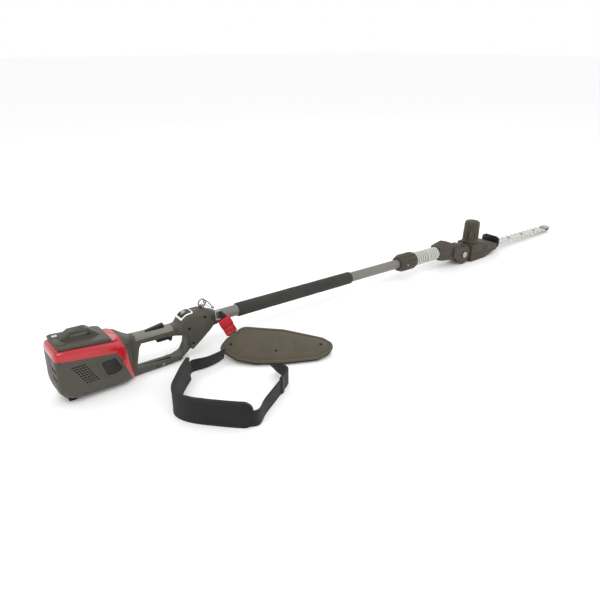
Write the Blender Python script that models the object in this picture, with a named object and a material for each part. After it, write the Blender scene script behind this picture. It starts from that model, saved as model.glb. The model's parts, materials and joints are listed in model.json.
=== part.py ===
"""Cordless pole hedge trimmer with a telescopic pole, a tilting head and a shoulder harness.

Run with: blender --background --python part.py

Sizes are in millimetres and are turned to metres when a mesh is made. Two spaces are used. The
tool space has X forward along the pole axis, Y to the left and Z up, with its origin on the axis
where the foam grip starts. The floor space is the world: its origin is the middle of the rear
foot's underside, and Z = 0 is the floor that the foot, the gearbox and the harness rest on.
"""
from math import atan2, cos, pi, radians, sin, tan

import bmesh
import bpy
from mathutils import Matrix, Vector

MM = 0.001
GAP = 0.3             # between pieces that touch
SLIDE = 0.5           # between pieces that slide or turn in each other

# Pole, all on the axis
OUTER_TUBE_D = 30.0
TUBE_WALL = 1.5
INNER_TUBE_D = OUTER_TUBE_D - 4.0
OUTER_TUBE_FRONT = 636.0
TUBE_IN_HOUSING = 70.0        # how deep the outer tube sits in the housing
INNER_TUBE_REAR = 70.0
FOAM_D = OUTER_TUBE_D + 7.0
FOAM_LENGTH = 410.0
COLLAR_REAR = 625.0
COLLAR_LENGTH = 76.0
COLLAR_D = 58.0
COLLAR_END_D = 47.0
SLEEVE_D = 45.0
SLEEVE_LENGTH = 56.0
SLEEVE_GROOVE = 4.0
TELESCOPE_TRAVEL = 450.0

# Battery casing, handle and front housing
CASING_REAR = -480.0
CASING_FRONT = -300.0
CASING_HALF_W = 46.0
CASING_TOP = 41.0
CASING_BOTTOM = -90.0
CASING_KEEL = 28.0            # how far the casing's underside is rounded up to its sides
DECK = -74.0                  # floor of the room under the battery
WALL = 3.0
BAY_REAR = -466.0
BAY_FRONT = -352.0
BAY_HALF_W = 39.5
BAY_FLOOR = -42.0
HANDLE_HALF_W = 16.0
GRIP_TOP = 13.0
GRIP_BOTTOM = -13.0
BAR_TOP = -75.0
BAR_BOTTOM = -91.4
GRIP_REAR = -290.0
GRIP_FRONT = -192.0
OVERMOULD = 1.6
HOUSING_HALF_W = 23.5
HOUSING_NOSE = -66.0

SCREW_SEAT = -13.0
BUTTON_X = -156.0
BUTTON_D = 11.0
TRIGGER_PIVOT = (-191.0, -4.0)
PANEL_THICK = 1.6

# Head
PIVOT_X = 952.0
PIVOT_Z = -24.0
KNUCKLE_R = 32.5
TONGUE_HALF_W = 16.0
EAR_THICK = 12.0
MOTOR_X = 1016.0
MOTOR_COVER_R = 28.5
MOTOR_COVER_TOP = 86.0
MOTOR_R = 21.0
PINION_TEETH = 9
GEAR_TEETH = 41
GEAR_MODULE = 1.5
ECCENTRIC = 8.0
CAM_R = 7.0
BLADE_Z = -24.0
BLADE_THICK = 2.0
BLADE_ROOT = 1162.0
BLADE_TIP = 1548.0
BLADE_HALF_W = 14.0
TOOTH_LENGTH = 11.0
TOOTH_PITCH = 30.0
BLADE_TRAVEL = 8.0
GUARD_X = 1144.0
GUARD_HALF_W = 36.0

# Floor line under the tool: the rear foot and the gearbox rest on it
FOOT_X = -449.0
FOOT_Z = -98.0
FOOT_LENGTH = 16.0
FOOT_HALF_W = 20.0
HEAD_X = 1010.0
HEAD_Z = -58.0
LEAN = atan2(HEAD_Z - FOOT_Z, HEAD_X - FOOT_X)

# Carry eye and harness
EYE_X = -102.0
EYE_PIVOT_Z = 36.2
EYE_R = 10.2
EYE_WIRE = 4.2
WEBBING = 40.0
WEBBING_THICK = 2.6
LEFT_WEBBING = 33.0
KEEPER_WALL = 1.6
TAB_W = 24.0
TAB_LENGTH = 3.0
PAD_HEIGHT = 62.0
PAD_THICK = 9.0

TOOL = Matrix.Rotation(LEAN, 4, "Y") @ Matrix.Translation((-FOOT_X, 0, -FOOT_Z))
FLOOR = Matrix.Identity(4)


def clear_scene():
    for obj in list(bpy.data.objects):
        bpy.data.objects.remove(obj, do_unlink=True)


def material(name, colour, roughness, metallic=0.0):
    made = bpy.data.materials.new(name)
    made.use_nodes = True
    shader = made.node_tree.nodes["Principled BSDF"]
    shader.inputs["Base Color"].default_value = (*colour, 1.0)
    shader.inputs["Roughness"].default_value = roughness
    shader.inputs["Metallic"].default_value = metallic
    made.diffuse_color = (*colour, 1.0)
    return made


def frame(name, at, space=TOOL, parent=None):
    """An empty at a point on a joint's axis, turned with its space."""
    empty = bpy.data.objects.new(name, None)
    bpy.context.collection.objects.link(empty)
    world = space @ Matrix.Translation(at)
    empty["world"] = [v for row in world for v in row]
    local = world if parent is None else world_of(parent).inverted() @ world
    local.translation = local.translation * MM
    empty.parent = parent
    empty.matrix_basis = local
    empty.empty_display_size = 0.02
    return empty


def world_of(empty):
    values = list(empty["world"])
    return Matrix([values[row * 4:row * 4 + 4] for row in range(4)])


def put(name, bm, mat, parent, space=TOOL, hidden=False):
    """Turns a mesh in millimetres of a space into an object under an empty."""
    bmesh.ops.recalc_face_normals(bm, faces=bm.faces[:])
    bm.transform(Matrix.Scale(MM, 4) @ world_of(parent).inverted() @ space)
    mesh = bpy.data.meshes.new(name)
    bm.to_mesh(mesh)
    bm.free()
    obj = bpy.data.objects.new(name, mesh)
    bpy.context.collection.objects.link(obj)
    obj.parent = parent
    if mat is not None:
        mesh.materials.append(mat)
    if hidden:
        obj.hide_render = True
        obj.display_type = "WIRE"
    else:
        mesh.shade_smooth()
        mesh.set_sharp_from_angle(angle=radians(35))
    return obj


def boolean(obj, other, operation):
    modifier = obj.modifiers.new(operation.title(), "BOOLEAN")
    modifier.operation = operation
    modifier.solver = "EXACT"
    modifier.object = other
    return modifier


def shape(obj, bm, operation="DIFFERENCE", space=TOOL):
    """Joins a mesh to an object, or cuts it from it, by a hidden helper."""
    helper = put(obj.name + "_" + operation.lower(), bm, None, obj.parent, space, True)
    boolean(obj, helper, operation)
    return helper


# ---- outlines and solids ----

def rounded(corners, steps=3):
    """An outline whose (x, y, radius) corners are turned into arcs."""
    points = []
    count = len(corners)
    for i, (x, y, radius) in enumerate(corners):
        here = Vector((x, y))
        before = Vector(corners[i - 1][:2]) - here
        after = Vector(corners[(i + 1) % count][:2]) - here
        half = before.angle(after) / 2
        if radius <= 0 or half > 1.55:
            points.append((x, y))
            continue
        back = min(radius / abs(sin(half)) * cos(half), before.length * 0.48, after.length * 0.48)
        real = back * sin(half) / cos(half)
        start = here + before.normalized() * back
        end = here + after.normalized() * back
        centre = here + (before.normalized() + after.normalized()).normalized() * real / sin(half)
        a, b = start - centre, end - centre
        turn = a.angle_signed(b)
        for step in range(steps + 1):
            angle = -turn * step / steps
            points.append(tuple(centre + Vector((a.x * cos(angle) - a.y * sin(angle),
                                                 a.x * sin(angle) + a.y * cos(angle)))))
    return points


def rectangle(low, high, radius=0.0, steps=2):
    (x0, y0), (x1, y1) = low, high
    return rounded([(x0, y0, radius), (x1, y0, radius), (x1, y1, radius), (x0, y1, radius)], steps)


def circle(centre, radius, sides=12, turn=0.0):
    return [(centre[0] + radius * cos(2 * pi * i / sides + turn),
             centre[1] + radius * sin(2 * pi * i / sides + turn)) for i in range(sides)]


PLANES = {"XZ": lambda a, b, c: (a, c, b), "XY": lambda a, b, c: (a, b, c), "YZ": lambda a, b, c: (c, a, b)}


def prism(outline, low, high, plane="XZ", edge=0.0, segments=2, hole=None):
    """An outline, with a hole if given, pushed from low to high, its end edges rounded by edge."""
    bm = bmesh.new()
    at = PLANES[plane]
    loops = [outline] if hole is None else [outline, hole]
    rims = []
    for loop in loops:
        verts = [bm.verts.new(at(a, b, low)) for a, b in loop]
        rims += [bm.edges.new((verts[i - 1], verts[i])) for i in range(len(verts))]
    if hole is None:
        faces = [bm.faces.new(verts)]
    else:
        filled = bmesh.ops.triangle_fill(bm, edges=rims, use_beauty=True)
        faces = [f for f in filled["geom"] if isinstance(f, bmesh.types.BMFace)]
    pushed = bmesh.ops.extrude_face_region(bm, geom=faces + rims)
    moved = [v for v in pushed["geom"] if isinstance(v, bmesh.types.BMVert)]
    bmesh.ops.translate(bm, vec=at(0, 0, high - low), verts=moved)
    bmesh.ops.recalc_face_normals(bm, faces=bm.faces[:])
    if edge:
        axis = Vector(at(0, 0, 1))
        ends = [e for e in bm.edges
                if abs((e.verts[1].co - e.verts[0].co).dot(axis)) < 0.001
                and len(e.link_faces) == 2 and e.calc_face_angle() > 1.0]
        bmesh.ops.bevel(bm, geom=ends, offset=edge, segments=segments, profile=0.5, affect="EDGES",
                        clamp_overlap=True)
    return bm


def block(low, high, edge=0.0, segments=1):
    """A box between two corners, all its edges rounded by edge."""
    bm = prism(rectangle((low[0], low[1]), (high[0], high[1])), low[2], high[2], "XY")
    if edge:
        bmesh.ops.bevel(bm, geom=bm.edges[:], offset=edge, segments=segments, profile=0.5,
                        affect="EDGES", clamp_overlap=True)
    return bm


def loft(rings, ends=True):
    """A skin through rings of points, closed by a face at each end."""
    bm = bmesh.new()
    loops = [[bm.verts.new(point) for point in ring] for ring in rings]
    count = len(loops[0])
    for one, two in zip(loops, loops[1:]):
        for i in range(count):
            bm.faces.new((one[i - 1], one[i], two[i], two[i - 1]))
    if ends:
        bm.faces.new(loops[0])
        bm.faces.new(loops[-1])
    else:
        for i in range(count):
            bm.faces.new((loops[-1][i - 1], loops[-1][i], loops[0][i], loops[0][i - 1]))
    return bm


def turned(profile, sides=20, place=Matrix.Identity(4), closed=False):
    """(x, radius) points turned about X; a closed profile makes a ring, an open one ends at radius 0."""
    bm = bmesh.new()
    rings = []
    for x, radius in profile:
        if radius == 0:
            rings.append([bm.verts.new((x, 0, 0))])
        else:
            rings.append([bm.verts.new((x, radius * cos(2 * pi * i / sides), radius * sin(2 * pi * i / sides)))
                          for i in range(sides)])
    pairs = list(zip(rings, rings[1:]))
    if closed:
        pairs.append((rings[-1], rings[0]))
    for one, two in pairs:
        for i in range(sides if len(one) + len(two) > 2 else 0):
            near = [one[0]] if len(one) == 1 else [one[i - 1], one[i]]
            far = [two[0]] if len(two) == 1 else [two[i], two[i - 1]]
            bm.faces.new(near + far)
    bmesh.ops.recalc_face_normals(bm, faces=bm.faces[:])
    bm.transform(place)
    return bm


def rod(x0, x1, radius, sides=16, place=Matrix.Identity(4), chamfer=0.0):
    if chamfer:
        return turned([(x0, 0), (x0, radius - chamfer), (x0 + chamfer, radius), (x1 - chamfer, radius),
                       (x1, radius - chamfer), (x1, 0)], sides, place)
    return turned([(x0, 0), (x0, radius), (x1, radius), (x1, 0)], sides, place)


def pipe(x0, x1, outer, inner, sides=20, place=Matrix.Identity(4)):
    return turned([(x0, inner), (x0, outer), (x1, outer), (x1, inner)], sides, place, closed=True)


def ring(radius, wire, sides=20, wire_sides=8, place=Matrix.Identity(4)):
    """A round wire bent into a circle about X."""
    profile = [(wire * cos(2 * pi * i / wire_sides), radius + wire * sin(2 * pi * i / wire_sides))
               for i in range(wire_sides)]
    return turned(profile, sides, place, closed=True)


def upright(x, y=0.0):
    """Turns the X of a turned shape to Z, standing at (x, y)."""
    return Matrix.Translation((x, y, 0)) @ Matrix.Rotation(-pi / 2, 4, "Y")


def across(x, z):
    """Turns the X of a turned shape to Y, at (x, z)."""
    return Matrix.Translation((x, 0, z)) @ Matrix.Rotation(pi / 2, 4, "Z")


def curve_through(points, steps):
    """Points on a smooth curve through the points of a route."""
    route = [Vector(p) for p in points]
    route = [2 * route[0] - route[1], *route, 2 * route[-1] - route[-2]]
    out = []
    for a, b, c, d in zip(route, route[1:], route[2:], route[3:]):
        for i in range(steps):
            t = i / steps
            out.append(0.5 * (2 * b + (c - a) * t + (2 * a - 5 * b + 4 * c - d) * t * t
                              + (3 * b - a - 3 * c + d) * t ** 3))
    return [*out, route[-2]]


def ribbon(route, wide, thick, steps=4):
    """A flat strap along (x, y, z, lean) points: lean 0 stands it on edge, lean 90 lays it flat."""
    centres = curve_through(route, steps)
    rings = []
    for i, spot in enumerate(centres):
        ahead = centres[min(i + 1, len(centres) - 1)]
        behind = centres[max(i - 1, 0)]
        run = Vector((ahead[0] - behind[0], ahead[1] - behind[1], 0)).normalized()
        side = Vector((-run.y, run.x, 0))
        lean = radians(spot[3])
        up = Vector((0, 0, 1)) * cos(lean) + side * sin(lean)
        out = side * cos(lean) - Vector((0, 0, 1)) * sin(lean)
        middle = Vector(spot[:3])
        rings.append([middle + up * a * wide / 2 + out * b * thick / 2
                      for a, b in ((-1, -1), (1, -1), (1, 1), (-1, 1))])
    return loft(rings)


# ---- rear casing, handle and front housing ----

def section(x, low, high, half, corner, inset=0.0, bottom_corner=None):
    """A ring of points across X: a rectangle whose top and bottom corners have their own radius."""
    top_r = max(corner - inset, 1.5)
    low_r = max((corner if bottom_corner is None else bottom_corner) - inset, 1.5)
    outline = rounded([(-half + inset, low + inset, low_r), (half - inset, low + inset, low_r),
                       (half - inset, high - inset, top_r), (-half + inset, high - inset, top_r)], 3)
    return [(x, y, z) for y, z in outline]


def sections(stations, inset=0.0):
    return loft([section(*station[:5], inset, *station[5:]) for station in stations])


def casing_loft(inset=0.0):
    """The casing's outer form, or the same form set in all round."""
    top, bottom, half = CASING_TOP, CASING_BOTTOM, CASING_HALF_W
    keel = CASING_KEEL
    return sections([
        (CASING_REAR + inset, bottom + 35, top - 9, half - 9, 10, keel - 14),
        (CASING_REAR + 3 + inset, bottom + 23, top - 3, half - 3.5, 11, keel - 8),
        (CASING_REAR + 12, bottom + 10, top, half, 12, keel - 2),
        (CASING_REAR + 30, bottom + 1, top - 0.5, half, 12, keel),
        (CASING_FRONT - 50, bottom, top - 10, half, 13, keel),
        (CASING_FRONT - 38, bottom, top - 9, half - 0.5, 20, keel),
        (CASING_FRONT - 24, bottom - 0.5, top - 13, half - 5, 22, keel - 4),
        (CASING_FRONT - 10, bottom - 1, top - 22, half - 17, 16, 16),
        (CASING_FRONT - inset, bottom - 1, top - 26, HANDLE_HALF_W + 2, 11, 9),
    ], inset)


def cover_region(grow=0.0):
    """The side outline of the red top cover and its front stripe, grown by a gap to cut with."""
    front = CASING_FRONT
    return [(CASING_REAR - 20, CASING_TOP + 30), (front - 33, CASING_TOP + 30), (front - 33 + grow, 33),
            (front + 2 + grow, -90), (front - 9 - grow, -90), (front - 48 - grow, 2 - grow),
            (CASING_REAR - 20, 20 - grow)]


def grip_form(inset=0.0):
    """The grip's round bar, a little higher at its rear."""
    low, high, half = GRIP_BOTTOM, GRIP_TOP, HANDLE_HALF_W
    return sections([(CASING_FRONT - 22, low - 2, high + 3, half + 1, 9), (GRIP_REAR - 4, low, high + 1, half, 9.5),
                     (GRIP_REAR + 12, low, high, half, 9.5), (-182, low - 3.5, high - 2.5, half, 9.5)], inset)


def lower_bar():
    low, high, half = BAR_BOTTOM, BAR_TOP, HANDLE_HALF_W
    return sections([(CASING_FRONT - 22, low, high, half + 1, 8), (-286, low - 0.5, high, half, 8),
                     (-244, low - 0.3, high, half, 8), (-200, low + 1, high - 1, half, 8), (-172, low + 5.5, high, half, 8)])


def handle_opening():
    return rounded([(-294, BAR_TOP - 2.5, 12), (-281, GRIP_BOTTOM + 2.5, 11), (-190, GRIP_BOTTOM - 1, 6), (-153, -24, 10),
                    (-157, -52, 14), (-167, -71, 10), (-188, BAR_TOP - 3, 12)], 3)


def posts():
    """The handle's rear post and the front post that carries on to the pole's socket."""
    low, half = BAR_BOTTOM, HANDLE_HALF_W
    rear = sections([(CASING_FRONT - 22, low, 14, half + 1, 8), (CASING_FRONT + 6, low - 0.4, 13, half, 8),
                     (-278, low - 0.4, 11, half, 8)])
    front = sections([(-206, low + 1, 8, half, 8), (-186, low + 3, 10, half, 8), (-172, low + 6.5, 13, half, 8),
                      (-160, -76, 30, half, 8), (-150, -67.5, 33, half, 8), (-128, -52, 33, half, 8), (-106, -34, 33, half + 1, 8),
                      (-92, -24, 28, half + 3, 10), (-80, -19.5, 21, half + 3.5, 12),
                      (HOUSING_NOSE - 1, -18.8, 17.5, half + 3, 13)])
    return rear, front


def housing_form(inset=0.0):
    """The wider front housing around the controls and the pole's socket."""
    half, low = HOUSING_HALF_W, -85
    return sections([
        (-190, low, 6, half - 5, 12, 4), (-176, low, 13.5, half - 2, 14, 4), (-165, low, 28.5, half, 15, 4),
        (-157, low, 33.8, half, 15, 4), (-149, low, 35.5, half, 15, 4), (-110, low, 35.5, half, 15, 4),
        (-100, low, 32, half, 15, 4), (HOUSING_NOSE - 6, low, 20, half - 1.5, 14, 4),
        (HOUSING_NOSE - inset, low, 16, half - 4, 12, 4)], inset)


def housing_side():
    """The side outline that the front housing keeps below its top."""
    return rounded([(-183, 60, 0), (-183, -9, 5), (-155, -22, 6), (-150, -50, 10), (-150, -65.5, 8), (-131, -51.5, 6),
                    (-92, -20.5, 8), (-80, -9, 4), (HOUSING_NOSE + 0.5, -7, 3), (HOUSING_NOSE + 0.5, 60, 0)], 2)


def grip_block(grow=0.0):
    """The stretch of the handle that the soft grip covers."""
    return block((GRIP_REAR - grow, -40, 0.3 - grow), (GRIP_FRONT + grow, 40, 60))


def lever_slot(low):
    return block((-259, -5.6, low), (-209.5, 5.6, 40))


def badge_outline(inset):
    """The side outline of the blank badge in the casing."""
    return rounded([(-386 + inset, -10 - inset, 4), (-352 - inset, -8 - inset, 5), (-338 - inset, -38 + inset, 5),
                    (-346 - inset, -47 + inset, 5), (-374 + inset, -47 + inset, 5)], 2)


def panel_region(inset=0.0):
    return prism(rectangle((-170 + inset, -16.3 + inset), (-136 - inset, 16.3 - inset), 4), 5, 60, "XY")


SCREWS = [(-224, -83.0, "1"), (-152, -4, "2"), (-107, 17, "3"), (-143, -46, "4")]


def body_solid(root):
    """Both halves as one form, before it is parted at Y = 0."""
    body = put("body_form", casing_loft(), None, root, hidden=True)
    shape(body, prism(cover_region(GAP), -60, 60))
    boolean(body, put("body_core", casing_loft(WALL + GAP), None, root, hidden=True), "UNION")
    for name, form in zip(("rear_post", "front_post"), posts()):
        post = put(name, form, None, root, hidden=True)
        shape(post, prism(handle_opening(), -40, 40))
        boolean(body, post, "UNION")
    shape(body, grip_form(), "UNION")
    shape(body, lower_bar(), "UNION")
    housing = put("housing_form", housing_form(), None, root, hidden=True)
    shape(housing, prism(housing_side(), -60, 60), "INTERSECT")
    boolean(body, housing, "UNION")
    band = put("grip_band", grip_block(GAP), None, root, hidden=True)
    shape(band, grip_form(OVERMOULD + GAP))
    boolean(body, band, "DIFFERENCE")
    seat = put("panel_seat", panel_region(-GAP), None, root, hidden=True)
    shape(seat, housing_form(PANEL_THICK + GAP))
    boolean(body, seat, "DIFFERENCE")
    shape(body, block((BAY_REAR, -BAY_HALF_W, BAY_FLOOR), (BAY_FRONT, BAY_HALF_W, 80)))
    shape(body, block((BAY_REAR + 12, 4 - BAY_HALF_W, DECK),
                      (BAY_FRONT - 4, BAY_HALF_W - 4, BAY_FLOOR - WALL)))
    shape(body, block((BAY_FRONT + 3, -14, DECK), (CASING_FRONT - 16, 14, 8)))
    shape(body, block((-262, -9, GRIP_BOTTOM + 3), (-184, 9, GRIP_TOP - 6)))
    shape(body, block((-250, -6, -40), (-182, 6, 0)))
    shape(body, lever_slot(GRIP_TOP - 8))
    shape(body, rod(HOUSING_NOSE - TUBE_IN_HOUSING, 0, OUTER_TUBE_D / 2 + GAP, 20))
    shape(body, rod(24, 60, BUTTON_D / 2 + SLIDE, 14, upright(BUTTON_X)))
    shape(body, block((EYE_X - 3.5 - GAP, -6 - GAP, 26 - GAP), (EYE_X + 3.5 + GAP, 6 + GAP, 60)))
    shape(body, prism(badge_outline(0), -60, 2.0 - CASING_HALF_W))
    for x, z, _ in SCREWS:
        shape(body, rod(-60, SCREW_SEAT, 4.0, 10, across(x, z)))
        shape(body, rod(-30, 10 + GAP, 1.8 + GAP, 8, across(x, z)))
    return body


def half_shell(name, root, mat, body, side):
    """One half of the body, from just beside the parting plane outwards."""
    low, high = (-70, -GAP / 2) if side < 0 else (GAP / 2, 70)
    shell = put(name, block((CASING_REAR - 30, low, -120), (0, high, 90)), mat, root)
    boolean(shell, body, "INTERSECT")


def top_cover(root, mat):
    """The red cover: a skin over the casing's top and a band round its front."""
    cover = put("top_cover", casing_loft(), mat, root)
    region = put("top_cover_region", prism(cover_region(), -60, 60), None, root, hidden=True)
    boolean(cover, region, "INTERSECT")
    core = put("top_cover_core", casing_loft(WALL), None, root, hidden=True)
    boolean(cover, core, "DIFFERENCE")
    shape(cover, block((BAY_REAR, -BAY_HALF_W, -30), (BAY_FRONT, BAY_HALF_W, 80)))
    half = HANDLE_HALF_W + 2
    shape(cover, block((CASING_FRONT - 34, -half, -120), (0, half, GRIP_TOP + 3.5 + GAP)))


def build_body(root, mats):
    body = body_solid(root)
    half_shell("housing_right", root, mats["casing"], body, -1)
    half_shell("housing_left", root, mats["casing"], body, 1)
    top_cover(root, mats["red"])
    grip = put("grip_overmould", grip_block(), mats["grip"], root)
    boolean(grip, put("grip_outer", grip_form(), None, root, hidden=True), "INTERSECT")
    shape(grip, grip_form(OVERMOULD))
    shape(grip, lever_slot(0))
    inner = housing_form(PANEL_THICK)
    for name, mat, proud, region in (("panel_bezel", "white", -0.8, panel_region()),
                                     ("control_panel", "black", -0.3, panel_region(2.4 + GAP))):
        plate = put(name, region, mats[mat], root)
        boolean(plate, put(name + "_outer", housing_form(proud), None, root, hidden=True), "INTERSECT")
        shape(plate, inner.copy())
        if name == "panel_bezel":
            shape(plate, panel_region(2.4))
        else:
            shape(plate, rod(24, 60, BUTTON_D / 2 + SLIDE, 14, upright(BUTTON_X)))
    put("side_badge", prism(badge_outline(GAP), 0.5 - CASING_HALF_W, 2.0 - GAP - CASING_HALF_W), mats["black"], root)
    slope = sin(LEAN) / cos(LEAN)
    low = [(FOOT_X + side * FOOT_LENGTH / 2, FOOT_Z + side * FOOT_LENGTH / 2 * slope) for side in (-1, 1)]
    top = CASING_BOTTOM - GAP
    put("rear_foot", prism([*low, (low[1][0], top), (low[0][0], top)], -FOOT_HALF_W, FOOT_HALF_W),
        mats["rubber"], root)
    lug = put("eye_lug", block((EYE_X - 3.5, -6, 26), (EYE_X + 3.5, 6, EYE_PIVOT_Z + 6)), mats["steel"], root)
    shape(lug, rod(EYE_X - 20, EYE_X + 20, EYE_WIRE / 2 + 1.3, 12, Matrix.Translation((0, 0, EYE_PIVOT_Z + 0.5))))
    for x, z, number in SCREWS:
        head = turned([(SCREW_SEAT - 2.6, 0), (SCREW_SEAT - 2.6, 3.4), (SCREW_SEAT - GAP, 3.4),
                       (SCREW_SEAT - GAP, 1.8), (10, 1.8), (10, 0)], 10, across(x, z))
        put("body_screw_" + number, head, mats["steel"], root)


def build_inside(root, mats):
    """What the body holds: electronics, battery terminals and the trigger switch."""
    put("control_board", block((BAY_REAR + 16, -32, DECK + 4), (BAY_FRONT - 10, 32, DECK + 16)),
        mats["board"], root)
    put("battery_terminals", block((BAY_FRONT - 26, -14, BAY_FLOOR + GAP), (BAY_FRONT - 8, 14, BAY_FLOOR + 10)),
        mats["black"], root)
    put("trigger_switch", block((-216, -8, 1.5), (-196, 8, GRIP_TOP - 6 - GAP)), mats["black"], root)


def build_battery(root, mats):
    """The pack that lifts out of the bay, with its bridge handle."""
    pack = frame("battery_frame", (-409, 0, 0), parent=root)
    rear, front, half = BAY_REAR + SLIDE + 0.3, BAY_FRONT - SLIDE - 0.3, BAY_HALF_W - SLIDE - 0.3
    low = prism([(rear, BAY_FLOOR + 11), (front, BAY_FLOOR + 11), (front, 36.5), (rear, 44.5)], -half, half)
    battery = put("battery_pack", low, mats["casing"], pack)
    rim = rounded([(-470, 42.2, 2), (-356, 34.2, 2), (-353.5, 38.0, 4), (-366, 42.0, 6), (-462, 49.0, 6),
                   (-471, 47, 3)], 2)
    shape(battery, prism(rim, -BAY_HALF_W - 1.5, BAY_HALF_W + 1.5, edge=3), "UNION")
    outer = rounded([(-458, 40, 0), (-452, 55, 8), (-432, 66, 8), (-394, 65, 12), (-362, 37, 2)], 3)
    inner = rounded([(-440, 48.5, 4), (-432, 57.5, 5), (-396, 57.0, 6), (-384, 46, 4)], 2)
    shape(battery, prism(outer, -11, 11, edge=3, hole=inner), "UNION")
    shape(battery, block((BAY_FRONT - 28, -17, BAY_FLOOR), (BAY_FRONT + 5, 17, BAY_FLOOR + 13)))
    shape(battery, block((-466, 14, 43), (-450, 32, 60)))
    put("charge_gauge", block((-465.6, 14.4, 43.3), (-450.4, 31.6, 49.3)), mats["pale"], pack)
    shape(battery, block((-466, -32, 41), (-450, -14, 60)))
    latch = frame("latch_frame", (-458, -23, 46), parent=pack)
    put("battery_latch", block((-465.5, -31.5, 45.5), (-450.5, -14.5, 50.5)), mats["pale"], latch)


def build_controls(root, mats):
    """Trigger, lock-off lever, trigger spring and power button."""
    pull = frame("trigger_frame", (TRIGGER_PIVOT[0], 0, TRIGGER_PIVOT[1]), parent=root)
    x, z = TRIGGER_PIVOT
    lever = prism(rounded([(x + 4, z - 4, 3), (x + 4, z + 4, 3), (x - 6, z + 4, 0), (x - 55, z - 1, 1), (x - 55, z - 5, 1),
                           (x - 43, z - 8, 2), (x - 41, z - 21.5, 3), (x - 10, z - 21.5, 1), (x - 8, z - 27, 2),
                           (x - 2, z - 27, 2), (x + 2, z - 12, 4)], 2), -5.4, 5.4, edge=1.2, segments=1)
    trigger = put("trigger", lever, mats["black"], pull)
    shape(trigger, rod(-20, 20, 2.0 + GAP, 10, across(x, z)))
    put("trigger_pin", rod(-8.5, 8.5, 2.0, 10, across(x, z)), mats["steel"], root)
    put("trigger_spring", pipe(z - 0.2, GRIP_TOP - 6 - GAP, 3.2, 2.0, 10, upright(x - 50)), mats["steel"], root)
    lock = frame("lock_off_frame", (-254, 0, 8), parent=root)
    put("lock_off_lever", prism(rounded([(-257, 7.5, 1), (-257, 14.8, 2), (-214, 22, 2), (-211.5, 21, 1), (-211.5, 12.5, 1)], 2),
                                -5, 5, edge=1, segments=1), mats["black"], lock)
    power = frame("power_frame", (BUTTON_X, 0, 40), parent=root)
    put("power_button", rod(29, 37.2, BUTTON_D / 2, 14, upright(BUTTON_X)), mats["pale"], power)


# ---- pole ----

def build_pole(root, mats):
    tube_rear = HOUSING_NOSE - TUBE_IN_HOUSING + GAP
    put("outer_tube", pipe(tube_rear, OUTER_TUBE_FRONT, OUTER_TUBE_D / 2, OUTER_TUBE_D / 2 - TUBE_WALL, 24),
        mats["tube"], root)
    foam_in = OUTER_TUBE_D / 2 + GAP
    put("foam_grip", turned([(0, foam_in), (0, FOAM_D / 2 - 1.5), (1.5, FOAM_D / 2), (FOAM_LENGTH - 1.5, FOAM_D / 2),
                             (FOAM_LENGTH, FOAM_D / 2 - 1.5), (FOAM_LENGTH, foam_in)], 24, closed=True),
        mats["foam"], root)
    collet_out = OUTER_TUBE_D / 2 + 4
    put("clamp_collet", turned([(COLLAR_REAR + 14, OUTER_TUBE_D / 2 + GAP), (COLLAR_REAR + 14, collet_out),
                                (COLLAR_REAR + 58, collet_out), (COLLAR_REAR + 64, collet_out - 2),
                                (COLLAR_REAR + 64, INNER_TUBE_D / 2 + SLIDE), (OUTER_TUBE_FRONT + GAP, INNER_TUBE_D / 2 + SLIDE),
                                (OUTER_TUBE_FRONT + GAP, OUTER_TUBE_D / 2 + GAP)], 20, closed=True), mats["black"], root)
    collar = frame("collar_frame", (COLLAR_REAR, 0, 0), parent=root)
    end = COLLAR_REAR + COLLAR_LENGTH
    bore = collet_out + SLIDE
    put("twist_collar", turned([(COLLAR_REAR, OUTER_TUBE_D / 2 + SLIDE), (COLLAR_REAR, COLLAR_END_D / 2),
                                (COLLAR_REAR + 14, COLLAR_D / 2), (end - 12, COLLAR_D / 2), (end, COLLAR_END_D / 2 + 1),
                                (end, INNER_TUBE_D / 2 + SLIDE), (end - 8, INNER_TUBE_D / 2 + SLIDE), (end - 8, bore),
                                (COLLAR_REAR + 10, bore), (COLLAR_REAR + 10, OUTER_TUBE_D / 2 + SLIDE)], 24, closed=True),
        mats["head"], collar)
    slide = frame("telescope_frame", (COLLAR_REAR + COLLAR_LENGTH, 0, 0), parent=root)
    sleeve_1 = end + SLIDE
    sleeve_2 = sleeve_1 + SLEEVE_LENGTH + SLEEVE_GROOVE
    yoke_rear = sleeve_2 + SLEEVE_LENGTH + GAP
    put("inner_tube", pipe(INNER_TUBE_REAR, yoke_rear + 40, INNER_TUBE_D / 2, INNER_TUBE_D / 2 - TUBE_WALL, 24),
        mats["tube"], slide)
    put("sliding_bush", pipe(INNER_TUBE_REAR - 14, INNER_TUBE_REAR - GAP, OUTER_TUBE_D / 2 - TUBE_WALL - GAP,
                             INNER_TUBE_D / 2 - TUBE_WALL, 20), mats["black"], slide)
    for number, start in (("1", sleeve_1), ("2", sleeve_2)):
        put("sleeve_" + number, turned([(start, INNER_TUBE_D / 2 + GAP), (start, SLEEVE_D / 2 - 1.5), (start + 3, SLEEVE_D / 2),
                                        (start + SLEEVE_LENGTH - 3, SLEEVE_D / 2), (start + SLEEVE_LENGTH, SLEEVE_D / 2 - 1.5),
                                        (start + SLEEVE_LENGTH, INNER_TUBE_D / 2 + GAP)], 24, closed=True),
            mats["sleeve"], slide)
    return slide, yoke_rear


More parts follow.
